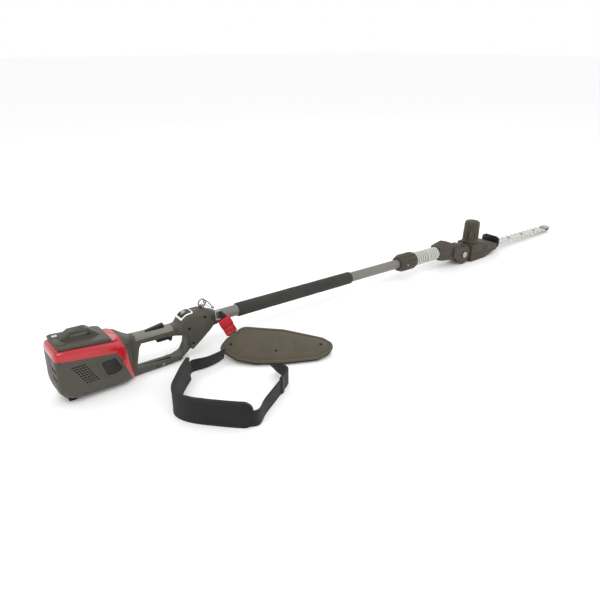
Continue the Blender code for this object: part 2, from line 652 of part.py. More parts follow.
def build_yoke(slide, yoke_rear, mats):
    """The bracket on the inner tube, with two ears for the tilting head."""
    tongue = TONGUE_HALF_W + SLIDE
    out = tongue + EAR_THICK
    rear = yoke_rear
    body = rounded([(rear, -22, 4), (rear, 23, 4), (rear + 50, 33, 12), (rear + 84, 24, 8), (rear + 84, 6, 2),
                    (PIVOT_X - 34, -6, 2), (PIVOT_X - 34, -40, 4), (rear + 62, -32, 8), (rear + 20, -27, 6)], 2)
    yoke = put("head_yoke", prism(body, -22, 22, edge=7, segments=3), mats["head"], slide)
    ear = [(PIVOT_X - 44, 2, 3), (PIVOT_X - 22, 12, 6)]
    for low, high in ((-out, -tongue), (tongue, out)):
        outline = rounded([(PIVOT_X - 60, -30, 3), (PIVOT_X - 60, 14, 3), *ear], 2)
        arc = [(PIVOT_X + KNUCKLE_R * cos(radians(a)), PIVOT_Z + KNUCKLE_R * sin(radians(a)))
               for a in range(75, -121, -15)]
        shape(yoke, prism([*outline, *arc], low, high), "UNION")
    shape(yoke, rod(-60, 60, KNUCKLE_R + 1.5, 28, across(PIVOT_X, PIVOT_Z) @ Matrix.Scale(tongue / 60, 4, (1, 0, 0))))
    shape(yoke, rod(rear - 10, rear + 40 + GAP, INNER_TUBE_D / 2 + GAP, 24))
    shape(yoke, rod(-60, 60, 6 + GAP, 16, across(PIVOT_X, PIVOT_Z)))
    shape(yoke, rod(-60, -out + 5, 12, 16, across(PIVOT_X, PIVOT_Z)))
    put("pivot_bolt", turned([(-out + 7, 0), (-out + 7, 6), (out, 6), (out, 10), (out + 5, 10), (out + 5, 0)],
                             16, across(PIVOT_X, PIVOT_Z)), mats["steel"], slide)
    button = frame("pivot_button_frame", (PIVOT_X, -out, PIVOT_Z), parent=slide)
    put("pivot_button", rod(-out - 4, -out + 2, 11.4, 20, across(PIVOT_X, PIVOT_Z), 1.0), mats["silver"], button)


# ---- head ----

def gear_outline(centre, teeth, module, turn, backlash=0.34):
    """A spur gear's outline with straight-sided teeth."""
    pitch = teeth * module / 2
    points = []
    for tooth in range(teeth):
        middle = turn + 2 * pi * tooth / teeth
        for radius, share in ((pitch - module * 1.3, -0.29), (pitch + module * 0.72, -0.11), (pitch + module * 0.72, 0.11),
                              (pitch - module * 1.3, 0.29)):
            angle = middle + share * 2 * pi / teeth * (1 - backlash / 3)
            points.append((centre[0] + radius * cos(angle), centre[1] + radius * sin(angle)))
    return points


def build_head(slide, mats):
    head = frame("head_frame", (PIVOT_X, 0, PIVOT_Z), parent=slide)
    slope = tan(LEAN)
    gear_x = MOTOR_X + (PINION_TEETH + GEAR_TEETH) * GEAR_MODULE / 2 + 0.25
    split = -33.0
    back = PIVOT_X + KNUCKLE_R + 3.5
    upper = prism(rounded([(back, split + GAP, 1), (back, 7, 5), (MOTOR_X + 34, 7, 5), (MOTOR_X + 96, -5, 12), (GUARD_X + 2, -14, 3),
                           (GUARD_X + 2, split + GAP, 1)], 2), -34, 34, edge=5, segments=2)
    upper = put("gearbox_upper", upper, mats["head"], head)
    hub = [(PIVOT_X + KNUCKLE_R * cos(radians(a)), PIVOT_Z + KNUCKLE_R * sin(radians(a))) for a in range(90, 271, 15)]
    shape(upper, prism([*hub, (back + 14, PIVOT_Z - KNUCKLE_R), (back + 14, PIVOT_Z + KNUCKLE_R - 4)],
                       -TONGUE_HALF_W, TONGUE_HALF_W), "UNION")
    shape(upper, block((back - GAP, -40, -70), (back + 80, 40, split + GAP)))
    shape(upper, rod(-60, 60, 6 + GAP, 16, across(PIVOT_X, PIVOT_Z)))
    shape(upper, rod(-14, 30, MOTOR_R + 3, 20, upright(MOTOR_X)))
    shape(upper, rod(split - 10, -2, (GEAR_TEETH + 2) * GEAR_MODULE / 2 + 1.5, 28, upright(gear_x)))
    shape(upper, rod(split - 10, -6, 11, 16, upright(MOTOR_X)))
    shape(upper, block((gear_x - 40, -24, split - 5), (GUARD_X + 20, 24, BLADE_Z + 4)))
    heel, toe = (HEAD_Z + (x - HEAD_X) * slope for x in (back + 4, MOTOR_X + 60))
    lower = prism(rounded([(back, split, 1), (back, heel + 8, 0), (back + 4, heel, 0), (MOTOR_X + 60, toe, 0),
                           (GUARD_X - 20, HEAD_Z + 18, 8), (GUARD_X + 2, split - 4, 0), (GUARD_X + 2, split, 0)], 2),
                  -34, 34, edge=2.5, segments=1)
    lower = put("gearbox_lower", lower, mats["head"], head)
    shape(lower, block((gear_x - 26, -23, -46), (gear_x + 26, 23, split + 5)))
    cover = put("motor_cover", turned([(7 + GAP, MOTOR_R + 4), (7 + GAP, MOTOR_COVER_R + 1.5), (16, MOTOR_COVER_R),
                                       (MOTOR_COVER_TOP - 8, MOTOR_COVER_R - 1.5), (MOTOR_COVER_TOP - 2, MOTOR_COVER_R - 5),
                                       (MOTOR_COVER_TOP, MOTOR_COVER_R - 10), (MOTOR_COVER_TOP, 0), (MOTOR_COVER_TOP - 3, 0),
                                       (MOTOR_COVER_TOP - 3, MOTOR_R + 1)], 24, upright(MOTOR_X), True), mats["head"], head)
    return head, upper, lower, cover, gear_x


def build_drive(head, gear_x, mats):
    """Motor, pinion, crank gear with its two cams, and the bearings."""
    motor = turned([(-3, 3.4), (-3, 9), (2, 9), (2, MOTOR_R), (70, MOTOR_R), (70, 8), (74, 8), (74, 3.4)], 20,
                   upright(MOTOR_X), closed=True)
    put("motor", motor, mats["steel"], head)
    spin = frame("motor_spin_frame", (MOTOR_X, 0, 0), parent=head)
    pinion = prism(gear_outline((MOTOR_X, 0), PINION_TEETH, GEAR_MODULE, 0), -16, -8, "XY")
    pinion = put("motor_pinion", pinion, mats["steel"], spin)
    shape(pinion, rod(-12, 80, 2.9, 12, upright(MOTOR_X)), "UNION")
    crank = frame("crank_frame", (gear_x, 0, 0), parent=head)
    gear = prism(gear_outline((gear_x, 0), GEAR_TEETH, GEAR_MODULE, pi + pi / GEAR_TEETH), -15, -9, "XY")
    gear = put("crank_gear", gear, mats["steel"], crank)
    shape(gear, rod(-43.5, -3.5, 4, 12, upright(gear_x)), "UNION")
    low = BLADE_Z - BLADE_THICK - GAP
    shape(gear, rod(BLADE_Z - GAP / 2, -14, CAM_R, 16, upright(gear_x + ECCENTRIC)), "UNION")
    shape(gear, rod(low - BLADE_THICK - GAP, BLADE_Z - GAP, CAM_R, 16, upright(gear_x - ECCENTRIC)), "UNION")
    put("crank_bearing", pipe(-43, -36, 8, 4 + SLIDE, 16, upright(gear_x)), mats["steel"], head)


def blade_outline(root_x, tip_x, phase):
    """One double-sided toothed blade, teeth along both edges."""
    side = []
    count = int((tip_x - root_x) // TOOTH_PITCH)
    half = BLADE_HALF_W
    for i in range(count):
        x = root_x + phase + i * TOOTH_PITCH
        side += [(x + 2, half), (x + 8, half + TOOTH_LENGTH), (x + 13, half + TOOTH_LENGTH), (x + 19, half)]
    upper = [(tip_x, half - 6), *reversed([p for p in side if p[0] < tip_x - 4])]
    lower = [(x, -y) for x, y in reversed(upper)]
    return upper, lower


def build_blades(head, gear_x, mats):
    front = GUARD_X + 8
    tail = CAM_R + ECCENTRIC + BLADE_TRAVEL + 0.7
    reach = CAM_R + ECCENTRIC + 0.7
    edge = reach + 5
    out = []
    for name, top, phase in (("upper_blade", BLADE_Z, 0.0), ("lower_blade", BLADE_Z - BLADE_THICK - GAP, 0.0)):
        upper, lower = blade_outline(BLADE_ROOT, BLADE_TIP, phase)
        rear = gear_x - tail - 5
        outline = [*upper, (front, BLADE_HALF_W), (gear_x + tail + 6, edge), (rear, edge), (rear, -edge),
                   (gear_x + tail + 6, -edge), (front, -BLADE_HALF_W), *lower]
        slide = frame(name + "_frame", (gear_x, 0, top), parent=head)
        blade = prism(outline, top - BLADE_THICK, top, "XY", hole=rectangle((gear_x - tail, -reach), (gear_x + tail, reach)))
        out.append(put(name, blade, mats["blade"], slide))
    bar_top = BLADE_Z - 2 * BLADE_THICK - 2 * GAP
    bar = prism(rounded([(GUARD_X + 5, -11, 0), (GUARD_X + 5, 11, 0), (BLADE_TIP - 2, 11, 5), (BLADE_TIP - 2, -11, 5)], 2),
                bar_top - 4, bar_top, "XY")
    put("guide_bar", bar, mats["steel"], head)
    tip = rounded([(BLADE_TIP - 22, -20, 4), (BLADE_TIP - 22, 20, 4), (BLADE_TIP + 12, 13, 8), (BLADE_TIP + 12, -13, 8)], 2)
    cap = put("tip_guard", prism(tip, bar_top - 7, BLADE_Z + 4, "XY", edge=2, segments=1), mats["pale"], head)
    shape(cap, block((BLADE_TIP - 60, -40, bar_top - 4 - GAP), (BLADE_TIP + BLADE_TRAVEL + 1, 40, BLADE_Z + GAP)))
    guard = rounded([(-GUARD_HALF_W, -30, 3), (GUARD_HALF_W, -30, 3), (GUARD_HALF_W, 2, 6), (24, 9, 6), (-24, 9, 6),
                     (-GUARD_HALF_W, 2, 6)], 2)
    guard = put("blade_guard", prism(guard, GUARD_X + 2 + GAP, GUARD_X + 9, "YZ"), mats["black"], head)
    shape(guard, block((GUARD_X - 20, -25, bar_top - 4 - GAP), (GUARD_X + 40, 25, BLADE_Z + 3)))
    return out


# ---- harness ----

BUCKLE_TOP = Vector((392, -31, 91))
BUCKLE_END = Vector((415, -40, 36.2))
BUCKLE_W = 33.0
BUCKLE_THICK = 11.0


def buckle_space():
    """Local axes of the buckle: X across it, Y along it from its hook end, Z out of its face."""
    run = (BUCKLE_END - BUCKLE_TOP).normalized()
    wide = Vector((0.914, -0.11, 0.39))
    wide = (wide - run * wide.dot(run)).normalized()
    face = wide.cross(run)
    turn = Matrix((wide, run, face)).transposed().to_4x4()
    return Matrix.Translation(BUCKLE_TOP) @ turn


RING_TOP = Vector((369.3, -31, 120.3))


def ring_space():
    """Local axes of the ring: X down its long side, -Y from the hook across to the webbing."""
    long_way = Vector((0.05, -0.05, -1)).normalized()
    across_way = Vector((-1, 0.1, -0.05))
    across_way = (across_way - long_way * across_way.dot(long_way)).normalized()
    face = long_way.cross(across_way)
    turn = Matrix((long_way, across_way, face)).transposed().to_4x4()
    return Matrix.Translation(RING_TOP + Vector((0, 0, -16.5))) @ turn


def hook_strip():
    """The short webbing that fans from the ring's upright bar to the buckle's top edge."""
    place, buckle = ring_space(), buckle_space()
    half = WEBBING_THICK / 2
    ends = [(place @ Vector((8.8, -18, 0)), place @ Vector((-8.8, -18, 0))),
            (buckle @ Vector((-11, -GAP, 0)), buckle @ Vector((11, -GAP, 0)))]
    outs = [place.to_3x3() @ Vector((0, 0, 1)), buckle.to_3x3() @ Vector((0, 0, 1))]
    if outs[0].dot(outs[1]) < 0:
        outs[0] = -outs[0]
    return loft([[low - out * half, high - out * half, high + out * half, low + out * half]
                 for (low, high), out in zip(ends, outs)])


def floor_point(x, z):
    return (TOOL @ Vector((x, 0, z)))


def build_hook(root, mats):
    carry = frame("carry_frame", (EYE_X, 0, EYE_PIVOT_Z), parent=root)
    eye = Matrix.Translation((EYE_X, 0, EYE_PIVOT_Z + EYE_R)) @ Matrix.Rotation(pi / 2, 4, "Z")
    put("carry_eye", ring(EYE_R, EYE_WIRE / 2, 20, 8, eye), mats["steel"], carry)
    return carry


def build_harness(root, mats):
    carry = build_hook(root, mats)
    space = FLOOR @ buckle_space()
    jaw_at = floor_point(EYE_X + EYE_R, EYE_PIVOT_Z + EYE_R)
    jaw = jaw_shape(jaw_at, RING_TOP)
    put("snap_hook", jaw[0], mats["steel"], carry, FLOOR)
    gate = frame("gate_frame", (0, 0, 0), jaw[2], carry)
    put("hook_gate", jaw[1], mats["silver"], gate, FLOOR)
    w, t = BUCKLE_W, BUCKLE_THICK
    put("square_ring", prism(rectangle((-13, -16), (13, 0), 3), -1.5, 1.5, "XY",
                             hole=rectangle((-10, -13), (10, -3), 1)), mats["silver"], carry, ring_space())
    fold = put("hook_webbing", block((-9.2, -19, -3.4), (9.2, -10, 3.4), 1.2), mats["webbing"], carry, ring_space())
    shape(fold, block((-20, -16 - SLIDE, -1.5 - SLIDE), (20, -13 + SLIDE, 1.5 + SLIDE)), space=ring_space())
    shape(fold, hook_strip(), "UNION", FLOOR)
    female = put("buckle_female", block((-w / 2, 0, -t / 2), (w / 2, 27, t / 2), 1.5), mats["red"], carry, space)
    shape(female, block((-w / 2 + 3.2, 6, -t / 2 + 2.4), (w / 2 - 3.2, 40, t / 2 - 2.4)), space=space)
    harness = frame("harness_frame", BUCKLE_END, FLOOR, carry)
    male = put("buckle_male", block((-w / 2 + 1, 27 + GAP, -t / 2), (w / 2 - 1, 50, t / 2), 1.5), mats["red"], harness, space)
    for low, high in ((-w / 2 + 4, -w / 2 + 8), (w / 2 - 8, w / 2 - 4), (-2, 2)):
        shape(male, block((low, 10, -t / 2 + 3), (high, 32, t / 2 - 3)), "UNION", space)
    shape(male, block((-w / 2 + 5, 40, -20), (w / 2 - 5, 45, 20)), space=space)
    return carry, harness


def jaw_shape(eye, ring_at):
    """The snap hook: a jaw round the eye's wire, an eye for the ring, and a straight gate."""
    run = (ring_at - eye).normalized()
    side = run.cross(Vector((0, 0, 1))).normalized()
    up = side.cross(run)
    length = (ring_at - eye).length
    place = Matrix((run, -side, up)).transposed().to_4x4()
    place.translation = eye
    bend = 5.6
    route = [(6.5, bend * 0.9), (3, bend), (-2, bend * 0.92), (-bend, bend * 0.5), (-bend - 1, 0), (-bend, -bend * 0.5),
             (-2, -bend * 0.95), (8, -bend), (length - 9, -3)]
    hook = wire_along([place @ Vector((x, -y, 0)) for x, y in route], 1.7)
    gate = wire_along([place @ Vector(p) for p in ((8.6, -bend * 0.9, 0), (length - 10, -1.8, 0))], 1.2)
    return hook, gate, place @ Matrix.Translation((length - 10, -1.8, 0))


def wire_along(points, radius, sides=8):
    rings = []
    for i, spot in enumerate(points):
        run = (points[min(i + 1, len(points) - 1)] - points[max(i - 1, 0)]).normalized()
        side = run.cross(Vector((0.2, 0.1, 1))).normalized()
        up = side.cross(run)
        rings.append([spot + (side * cos(2 * pi * k / sides) + up * sin(2 * pi * k / sides)) * radius
                      for k in range(sides)])
    return loft(rings)


HIP_ORIGIN = Vector((402, -149, 4.5))
HIP_TILT = radians(20)


def hip_space():
    long_way = Vector((0.866, -0.5, 0))
    across_way = Vector((0.5 * cos(HIP_TILT), 0.866 * cos(HIP_TILT), sin(HIP_TILT)))
    face = long_way.cross(across_way)
    place = Matrix((long_way, across_way, face)).transposed().to_4x4()
    place.translation = HIP_ORIGIN
    return place


def tab_strip(space):
    """The webbing from the buckle's lower end to the hip pad's edge."""
    near = space @ Vector((0, 50 + GAP, 0))
    down = (space.to_3x3() @ Vector((0, 1, 0))).normalized()
    wide = (space.to_3x3() @ Vector((1, 0, 0))).normalized()
    rings = []
    for reach, share in ((0, 1.0), (TAB_LENGTH, 0.9)):
        out = down.cross(wide).normalized()
        rings.append([near + down * reach + wide * a * TAB_W / 2 * share + out * b * WEBBING_THICK / 2
                      for a, b in ((-1, -1), (1, -1), (1, 1), (-1, 1))])
    return loft(rings)


def build_straps(harness, mats):
    hip = rounded([(-84, 55, 10), (-40, 14, 20), (5, -1, 30), (80, -6, 0), (162, -2, 30), (194, 13, 16), (212, 42, 14),
                   (186, 66, 24), (88, 104, 0), (-18, 124, 14), (-62, 86, 12)], 2)
    put("hip_pad", prism(hip, 0, 13, "XY", edge=4, segments=2), mats["pad"], harness, hip_space())
    put("pad_tab", tab_strip(buckle_space()), mats["webbing"], harness, FLOOR)
    half = PAD_HEIGHT / 2
    web = WEBBING / 2
    left = [(352, -88, 24, 14), (332, -93, 24, 10), (301, -96, 24, 8), (267, -90, 24, 0), (250, -101, 24, 0)]
    put("strap_left", ribbon(left, LEFT_WEBBING, WEBBING_THICK, 3), mats["webbing"], harness, FLOOR)
    pad = [(248, -105, half, 0), (219, -132, half, 0), (188, -165, half, 0), (164, -194, half, 0), (157, -221, half, 0),
           (171, -257, half, 0), (208, -301, half, 0), (246, -340, half, 0), (265, -354, half, 0)]
    put("shoulder_pad", ribbon(pad, PAD_HEIGHT, PAD_THICK, 3), mats["pad_cloth"], harness, FLOOR)
    web += KEEPER_WALL
    right = [(268, -356, web, 0), (279, -355, web, 0), (309, -333, web, 0), (361, -303, web, 0), (409, -275, web, 0),
             (425, -260, web, 0), (425, -236, web, 12), (418, -208, web - 3, 40)]
    put("strap_right", ribbon(right, WEBBING, WEBBING_THICK, 3), mats["webbing"], harness, FLOOR)
    along = Vector((48, 28, 0)).normalized()
    place = Matrix((along, Vector((-along.y, along.x, 0)), Vector((0, 0, 1)))).transposed().to_4x4()
    place.translation = Vector((388, -287.2, web))
    high = WEBBING / 2 + KEEPER_WALL
    keeper = put("strap_keeper", block((-6, -4, -high), (6, 4, high), 1.0), mats["black"], harness, place)
    shape(keeper, block((-20, -2, 1.2 - high), (20, 2, high - 1.2)), space=place)


def build():
    clear_scene()
    mats = {
        "casing": material("casing", (0.10, 0.10, 0.09), 0.5), "red": material("red", (0.50, 0.02, 0.03), 0.3),
        "white": material("white", (0.75, 0.75, 0.73), 0.4), "black": material("black", (0.03, 0.03, 0.03), 0.5),
        "rubber": material("rubber", (0.02, 0.02, 0.02), 0.8), "steel": material("steel", (0.35, 0.34, 0.33), 0.35, 1.0),
        "board": material("board", (0.02, 0.10, 0.05), 0.5), "pale": material("pale", (0.45, 0.45, 0.42), 0.5),
        "tube": material("tube", (0.28, 0.28, 0.27), 0.4, 0.6), "foam": material("foam", (0.07, 0.07, 0.065), 0.9),
        "head": material("head", (0.08, 0.07, 0.055), 0.55), "sleeve": material("sleeve", (0.40, 0.41, 0.39), 0.45),
        "silver": material("silver", (0.7, 0.7, 0.7), 0.25, 1.0), "blade": material("blade", (0.6, 0.6, 0.6), 0.25, 1.0),
        "webbing": material("webbing", (0.03, 0.03, 0.03), 0.85), "pad": material("pad", (0.16, 0.145, 0.115), 0.6),
        "pad_cloth": material("pad_cloth", (0.05, 0.05, 0.05), 0.9), "grip": material("grip", (0.28, 0.28, 0.26), 0.7),
    }
    root = frame("tool_frame", (0, 0, 0))
    build_body(root, mats)
    build_inside(root, mats)
    build_battery(root, mats)
    build_controls(root, mats)
    slide, yoke_rear = build_pole(root, mats)
    build_yoke(slide, yoke_rear, mats)
    head, upper, lower, cover, gear_x = build_head(slide, mats)
    build_drive(head, gear_x, mats)
    build_blades(head, gear_x, mats)
    carry, harness = build_harness(root, mats)
    build_straps(harness, mats)


build()
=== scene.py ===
import json
import math
import bpy
from mathutils import Matrix, Vector

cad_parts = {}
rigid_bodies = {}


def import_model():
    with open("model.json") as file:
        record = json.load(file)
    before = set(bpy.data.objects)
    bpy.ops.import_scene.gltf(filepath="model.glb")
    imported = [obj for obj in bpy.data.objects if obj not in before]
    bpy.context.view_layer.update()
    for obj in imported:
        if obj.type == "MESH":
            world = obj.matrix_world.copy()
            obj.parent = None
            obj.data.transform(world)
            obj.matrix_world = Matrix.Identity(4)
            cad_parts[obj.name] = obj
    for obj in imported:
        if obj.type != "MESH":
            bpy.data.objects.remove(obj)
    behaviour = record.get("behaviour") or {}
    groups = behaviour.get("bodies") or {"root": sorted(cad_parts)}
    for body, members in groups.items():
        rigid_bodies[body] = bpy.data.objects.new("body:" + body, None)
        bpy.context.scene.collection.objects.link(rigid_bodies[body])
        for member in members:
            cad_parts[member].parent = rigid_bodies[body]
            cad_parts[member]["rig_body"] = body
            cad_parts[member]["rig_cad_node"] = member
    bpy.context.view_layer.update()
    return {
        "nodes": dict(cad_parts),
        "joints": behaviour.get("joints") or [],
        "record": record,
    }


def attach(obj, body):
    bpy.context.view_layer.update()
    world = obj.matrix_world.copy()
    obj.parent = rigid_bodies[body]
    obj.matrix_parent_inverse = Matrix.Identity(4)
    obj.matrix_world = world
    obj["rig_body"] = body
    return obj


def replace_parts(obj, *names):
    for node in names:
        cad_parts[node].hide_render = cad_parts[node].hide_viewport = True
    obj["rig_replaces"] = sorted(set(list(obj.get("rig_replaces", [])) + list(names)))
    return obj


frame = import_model()
nodes = frame["nodes"]
joints = {joint["name"]: joint for joint in frame["joints"]}
bodyOf = {name: body for body, names in frame["record"]["behaviour"]["bodies"].items() for name in names}
slotOf = {row["node"]: row["material_slot"] for row in frame["record"]["subparts"]}
bpy.ops.object.select_all(action="DESELECT")
print("frame loaded:", len(nodes), "nodes")

# the tool's own space: X along the pole, origin where the foam grip starts, millimetres

poleAxis = Vector(joints["telescope"]["axis"]).normalized()
upAxis = Vector((-poleAxis.z, 0, poleAxis.x))
collarRear = 0.625
originPoint = Vector(joints["collar_twist"]["pos_m"]) - poleAxis * collarRear
toolSpace = Matrix(((poleAxis.x, 0, upAxis.x, originPoint.x), (0, 1, 0, 0),
                    (poleAxis.z, 0, upAxis.z, originPoint.z), (0, 0, 0, 1)))
mm = 0.001


# camera, lights and floor

view = {"azimuth": 38.382, "elevation": 24.460, "place": (-0.26835, -1.18215, 0.73916), "lens": 34.2}


def setCamera():
    a, e = math.radians(view["azimuth"]), math.radians(view["elevation"])
    aim = Vector((math.sin(a) * math.cos(e), math.cos(a) * math.cos(e), -math.sin(e)))
    data = bpy.data.cameras.new("camera")
    data.lens, data.sensor_width, data.clip_start, data.clip_end = view["lens"], 36.0, 0.02, 60
    camera = bpy.data.objects.new("camera", data)
    camera.location = view["place"]
    camera.rotation_euler = aim.to_track_quat("-Z", "Y").to_euler()
    bpy.context.scene.collection.objects.link(camera)
    bpy.context.scene.camera = camera


studio = {
    "key": ((-0.9, -1.6, 2.6), 34.0, 1.8), "fill": ((2.6, -1.9, 1.9), 14.0, 2.4),
    "back": ((0.9, 2.3, 2.1), 16.0, 2.2), "floorTone": (0.96, 0.96, 0.96), "airTone": (1.0, 1.0, 1.0), "air": 1.0,
}


def setStudio():
    centre = Vector((0.95, 0, 0.05))
    for name in ("key", "fill", "back"):
        place, power, size = studio[name]
        data = bpy.data.lights.new(name + "Light", "AREA")
        data.energy, data.size, data.shape = power, size, "DISK"
        lamp = bpy.data.objects.new(name + "Light", data)
        lamp.location = place
        lamp.rotation_euler = (centre - Vector(place)).to_track_quat("-Z", "Y").to_euler()
        bpy.context.scene.collection.objects.link(lamp)
    world = bpy.data.worlds.new("studioAir")
    world.use_nodes = True
    world.node_tree.nodes["Background"].inputs[0].default_value = (*studio["airTone"], 1)
    world.node_tree.nodes["Background"].inputs[1].default_value = studio["air"]
    bpy.context.scene.world = world
    bpy.ops.mesh.primitive_plane_add(size=60, location=(1, 0, -0.0004))
    floor = bpy.context.object
    floor.name = "studioFloor"
    paint = bpy.data.materials.new("studioFloorPaint")
    paint.use_nodes = True
    shader = paint.node_tree.nodes["Principled BSDF"]
    shader.inputs["Base Color"].default_value = (*studio["floorTone"], 1)
    shader.inputs["Roughness"].default_value = 0.85
    floor.data.materials.append(paint)
    floor.select_set(False)
    bpy.context.scene.view_settings.view_transform = "Standard"


setCamera()
setStudio()
print("camera, lights and floor set")


# shader maths

class Wire:
    # one shader socket: sums and products of it add their Math nodes
    def __init__(self, paint, socket):
        self.paint, self.socket = paint, socket

    def maths(self, operation, first, second=0.0):
        return self.paint.put("ShaderNodeMath", {"operation": operation}, {0: first, 1: second})

    def __add__(self, other): return self.maths("ADD", self, other)
    def __radd__(self, other): return self.maths("ADD", other, self)
    def __sub__(self, other): return self.maths("SUBTRACT", self, other)
    def __rsub__(self, other): return self.maths("SUBTRACT", other, self)
    def __mul__(self, other): return self.maths("MULTIPLY", self, other)
    def __rmul__(self, other): return self.maths("MULTIPLY", other, self)
    def wave(self): return self.maths("SINE", self)

    def between(self, low, high, start=0.0, end=1.0):
        return self.paint.put("ShaderNodeMapRange", {"clamp": True},
                              {"Value": self, "From Min": low, "From Max": high, "To Min": start, "To Max": end})


class Paint:
    # one material: put() adds a node and hands back one of its outputs as a Wire
    def __init__(self, name):
        self.material = bpy.data.materials.new(name)
        self.material.use_nodes = True
        self.tree = self.material.node_tree
        self.shader = self.tree.nodes["Principled BSDF"]
        self.spot = self.put("ShaderNodeTexCoord", out="Object")

    def put(self, kind, settings=None, values=None, out=0):
        node = self.tree.nodes.new(kind)
        for key, value in (settings or {}).items():
            setattr(node, key, value)
        for key, value in (values or {}).items():
            self.feed(node.inputs[key], value)
        return Wire(self, node.outputs[out])

    def feed(self, socket, value):
        if isinstance(value, Wire):
            self.tree.links.new(value.socket, socket)
        elif isinstance(value, tuple) and len(value) == 3 and socket.type == "RGBA":
            socket.default_value = (*value, 1)
        else:
            socket.default_value = value

    def stretched(self, scale=(1, 1, 1), turn=(0, 0, 0), base=None):
        return self.put("ShaderNodeMapping", {}, {"Vector": base or self.spot, "Scale": scale, "Rotation": turn})

    def noise(self, scale, detail=3.0, rough=0.55, spot=None):
        return self.put("ShaderNodeTexNoise", {}, {"Vector": spot or self.spot, "Scale": scale, "Detail": detail,
                                                   "Roughness": rough})

    def cells(self, scale, feature="F1", spot=None):
        return self.put("ShaderNodeTexVoronoi", {"feature": feature}, {"Vector": spot or self.spot, "Scale": scale})

    def parts(self, vector):
        node = self.tree.nodes.new("ShaderNodeSeparateXYZ")
        self.feed(node.inputs[0], vector)
        return [Wire(self, out) for out in node.outputs]

    def mix(self, factor, first, second):
        return self.put("ShaderNodeMix", {"data_type": "RGBA"}, {0: factor, 6: first, 7: second}, out=2)

    def bump(self, height, strength, distance, under=None):
        values = {"Height": height, "Strength": strength, "Distance": distance}
        if under:
            values["Normal"] = under
        return self.put("ShaderNodeBump", {}, values)

    def finish(self, colour, roughness, normal=None, **fixed):
        self.feed(self.shader.inputs["Base Color"], colour)
        self.feed(self.shader.inputs["Roughness"], roughness)
        if normal:
            self.feed(self.shader.inputs["Normal"], normal)
        for key, value in fixed.items():
            self.shader.inputs[key.replace("_", " ")].default_value = value
        return self.material


def linear(red, green, blue):
    # a screen colour, 0 to 255, as the shader's linear one
    return tuple((c / 255 / 12.92) if c / 255 <= 0.04045 else ((c / 255 + 0.055) / 1.055) ** 2.4
                 for c in (red, green, blue))


def shade(colour, by):
    return tuple(min(1.0, c * by) for c in colour)


def mouldedPlastic(name, screen, rough=0.5, grain=0.35, grainSize=1400, mottle=0.10, dust=0.0):
    # spark-eroded grain, faint flow marks and a little handling dust
    paint, colour = Paint(name), linear(*screen)
    flow = paint.noise(9, 4, 0.6)
    patches = paint.noise(46, 5, 0.62)
    speck = paint.noise(grainSize * 0.6, 2, 0.5)
    tone = paint.mix(flow.between(0.35, 0.68), shade(colour, 1 - mottle), shade(colour, 1 + mottle))
    tone = paint.mix(speck.between(0.45, 0.75, 0, 0.30), tone, shade(colour, 0.72))
    tone = paint.mix(patches.between(0.55, 0.80, 0, 0.16 + dust), tone, shade(colour, 1.55))
    gloss = patches.between(0.3, 0.7, rough - 0.07, rough + 0.08)
    grains = paint.bump(paint.cells(grainSize), grain, 0.00009)
    return paint.finish(tone, gloss, paint.bump(flow, 0.05, 0.002, grains), Specular_IOR_Level=0.32)


def glossShell(name, screen, rough=0.24):
    paint, colour = Paint(name), linear(*screen)
    flow, fine = paint.noise(7, 3, 0.5), paint.noise(240, 3, 0.5)
    scratches = paint.noise(60, 3, 0.6, paint.stretched((1, 9, 4), (0.3, 0.2, 0.5)))
    tone = paint.mix(flow.between(0.3, 0.7), shade(colour, 0.90), shade(colour, 1.08))
    gloss = scratches.between(0.45, 0.72, rough, rough + 0.16)
    skin = paint.bump(fine, 0.05, 0.0004)
    return paint.finish(tone, gloss, paint.bump(flow, 0.06, 0.003, skin), Coat_Weight=0.35, Coat_Roughness=0.12)


def softRubber(name, screen, rough=0.72, pits=2600):
    paint, colour = Paint(name), linear(*screen)
    flow, wear = paint.noise(14, 4, 0.6), paint.noise(80, 5, 0.65)
    tone = paint.mix(flow.between(0.3, 0.7), shade(colour, 0.86), shade(colour, 1.10))
    tone = paint.mix(wear.between(0.58, 0.82, 0, 0.4), tone, shade(colour, 0.66))
    return paint.finish(tone, wear.between(0.3, 0.7, rough - 0.08, rough + 0.1),
                        paint.bump(paint.cells(pits), 0.5, 0.00012), Specular_IOR_Level=0.3)


def closedFoam(name, screen):
    paint, colour = Paint(name), linear(*screen)
    pores, coarse, flow = paint.cells(1500), paint.noise(900, 4, 0.7), paint.noise(26, 4, 0.6)
    tone = paint.mix(flow.between(0.3, 0.7), shade(colour, 0.82), shade(colour, 1.12))
    tone = paint.mix(pores.between(0.0, 0.38, 0.55, 0.0), tone, shade(colour, 0.45))
    tone = paint.mix(coarse.between(0.52, 0.72, 0, 0.5), tone, shade(colour, 1.5))
    return paint.finish(tone, 0.92, paint.bump(pores * 0.6 + coarse, 0.9, 0.0005), Sheen_Weight=0.05,
                        Sheen_Roughness=0.5, Specular_IOR_Level=0.2)


def coatedTube(name, screen, rough=0.34, metal=0.0):
    paint, colour = Paint(name), linear(*screen)
    drawn = paint.noise(60, 4, 0.6, paint.stretched((0.35, 26, 26)))
    fine, flow = paint.noise(1800, 2, 0.5), paint.noise(6, 3, 0.5)
    tone = paint.mix(flow.between(0.3, 0.7), shade(colour, 0.93), shade(colour, 1.07))
    tone = paint.mix(drawn.between(0.5, 0.8, 0, 0.3), tone, shade(colour, 1.3))
    return paint.finish(tone, drawn.between(0.3, 0.75, rough, rough + 0.14), paint.bump(fine, 0.12, 0.00008),
                        Metallic=metal, Coat_Weight=0.15, Coat_Roughness=0.3)


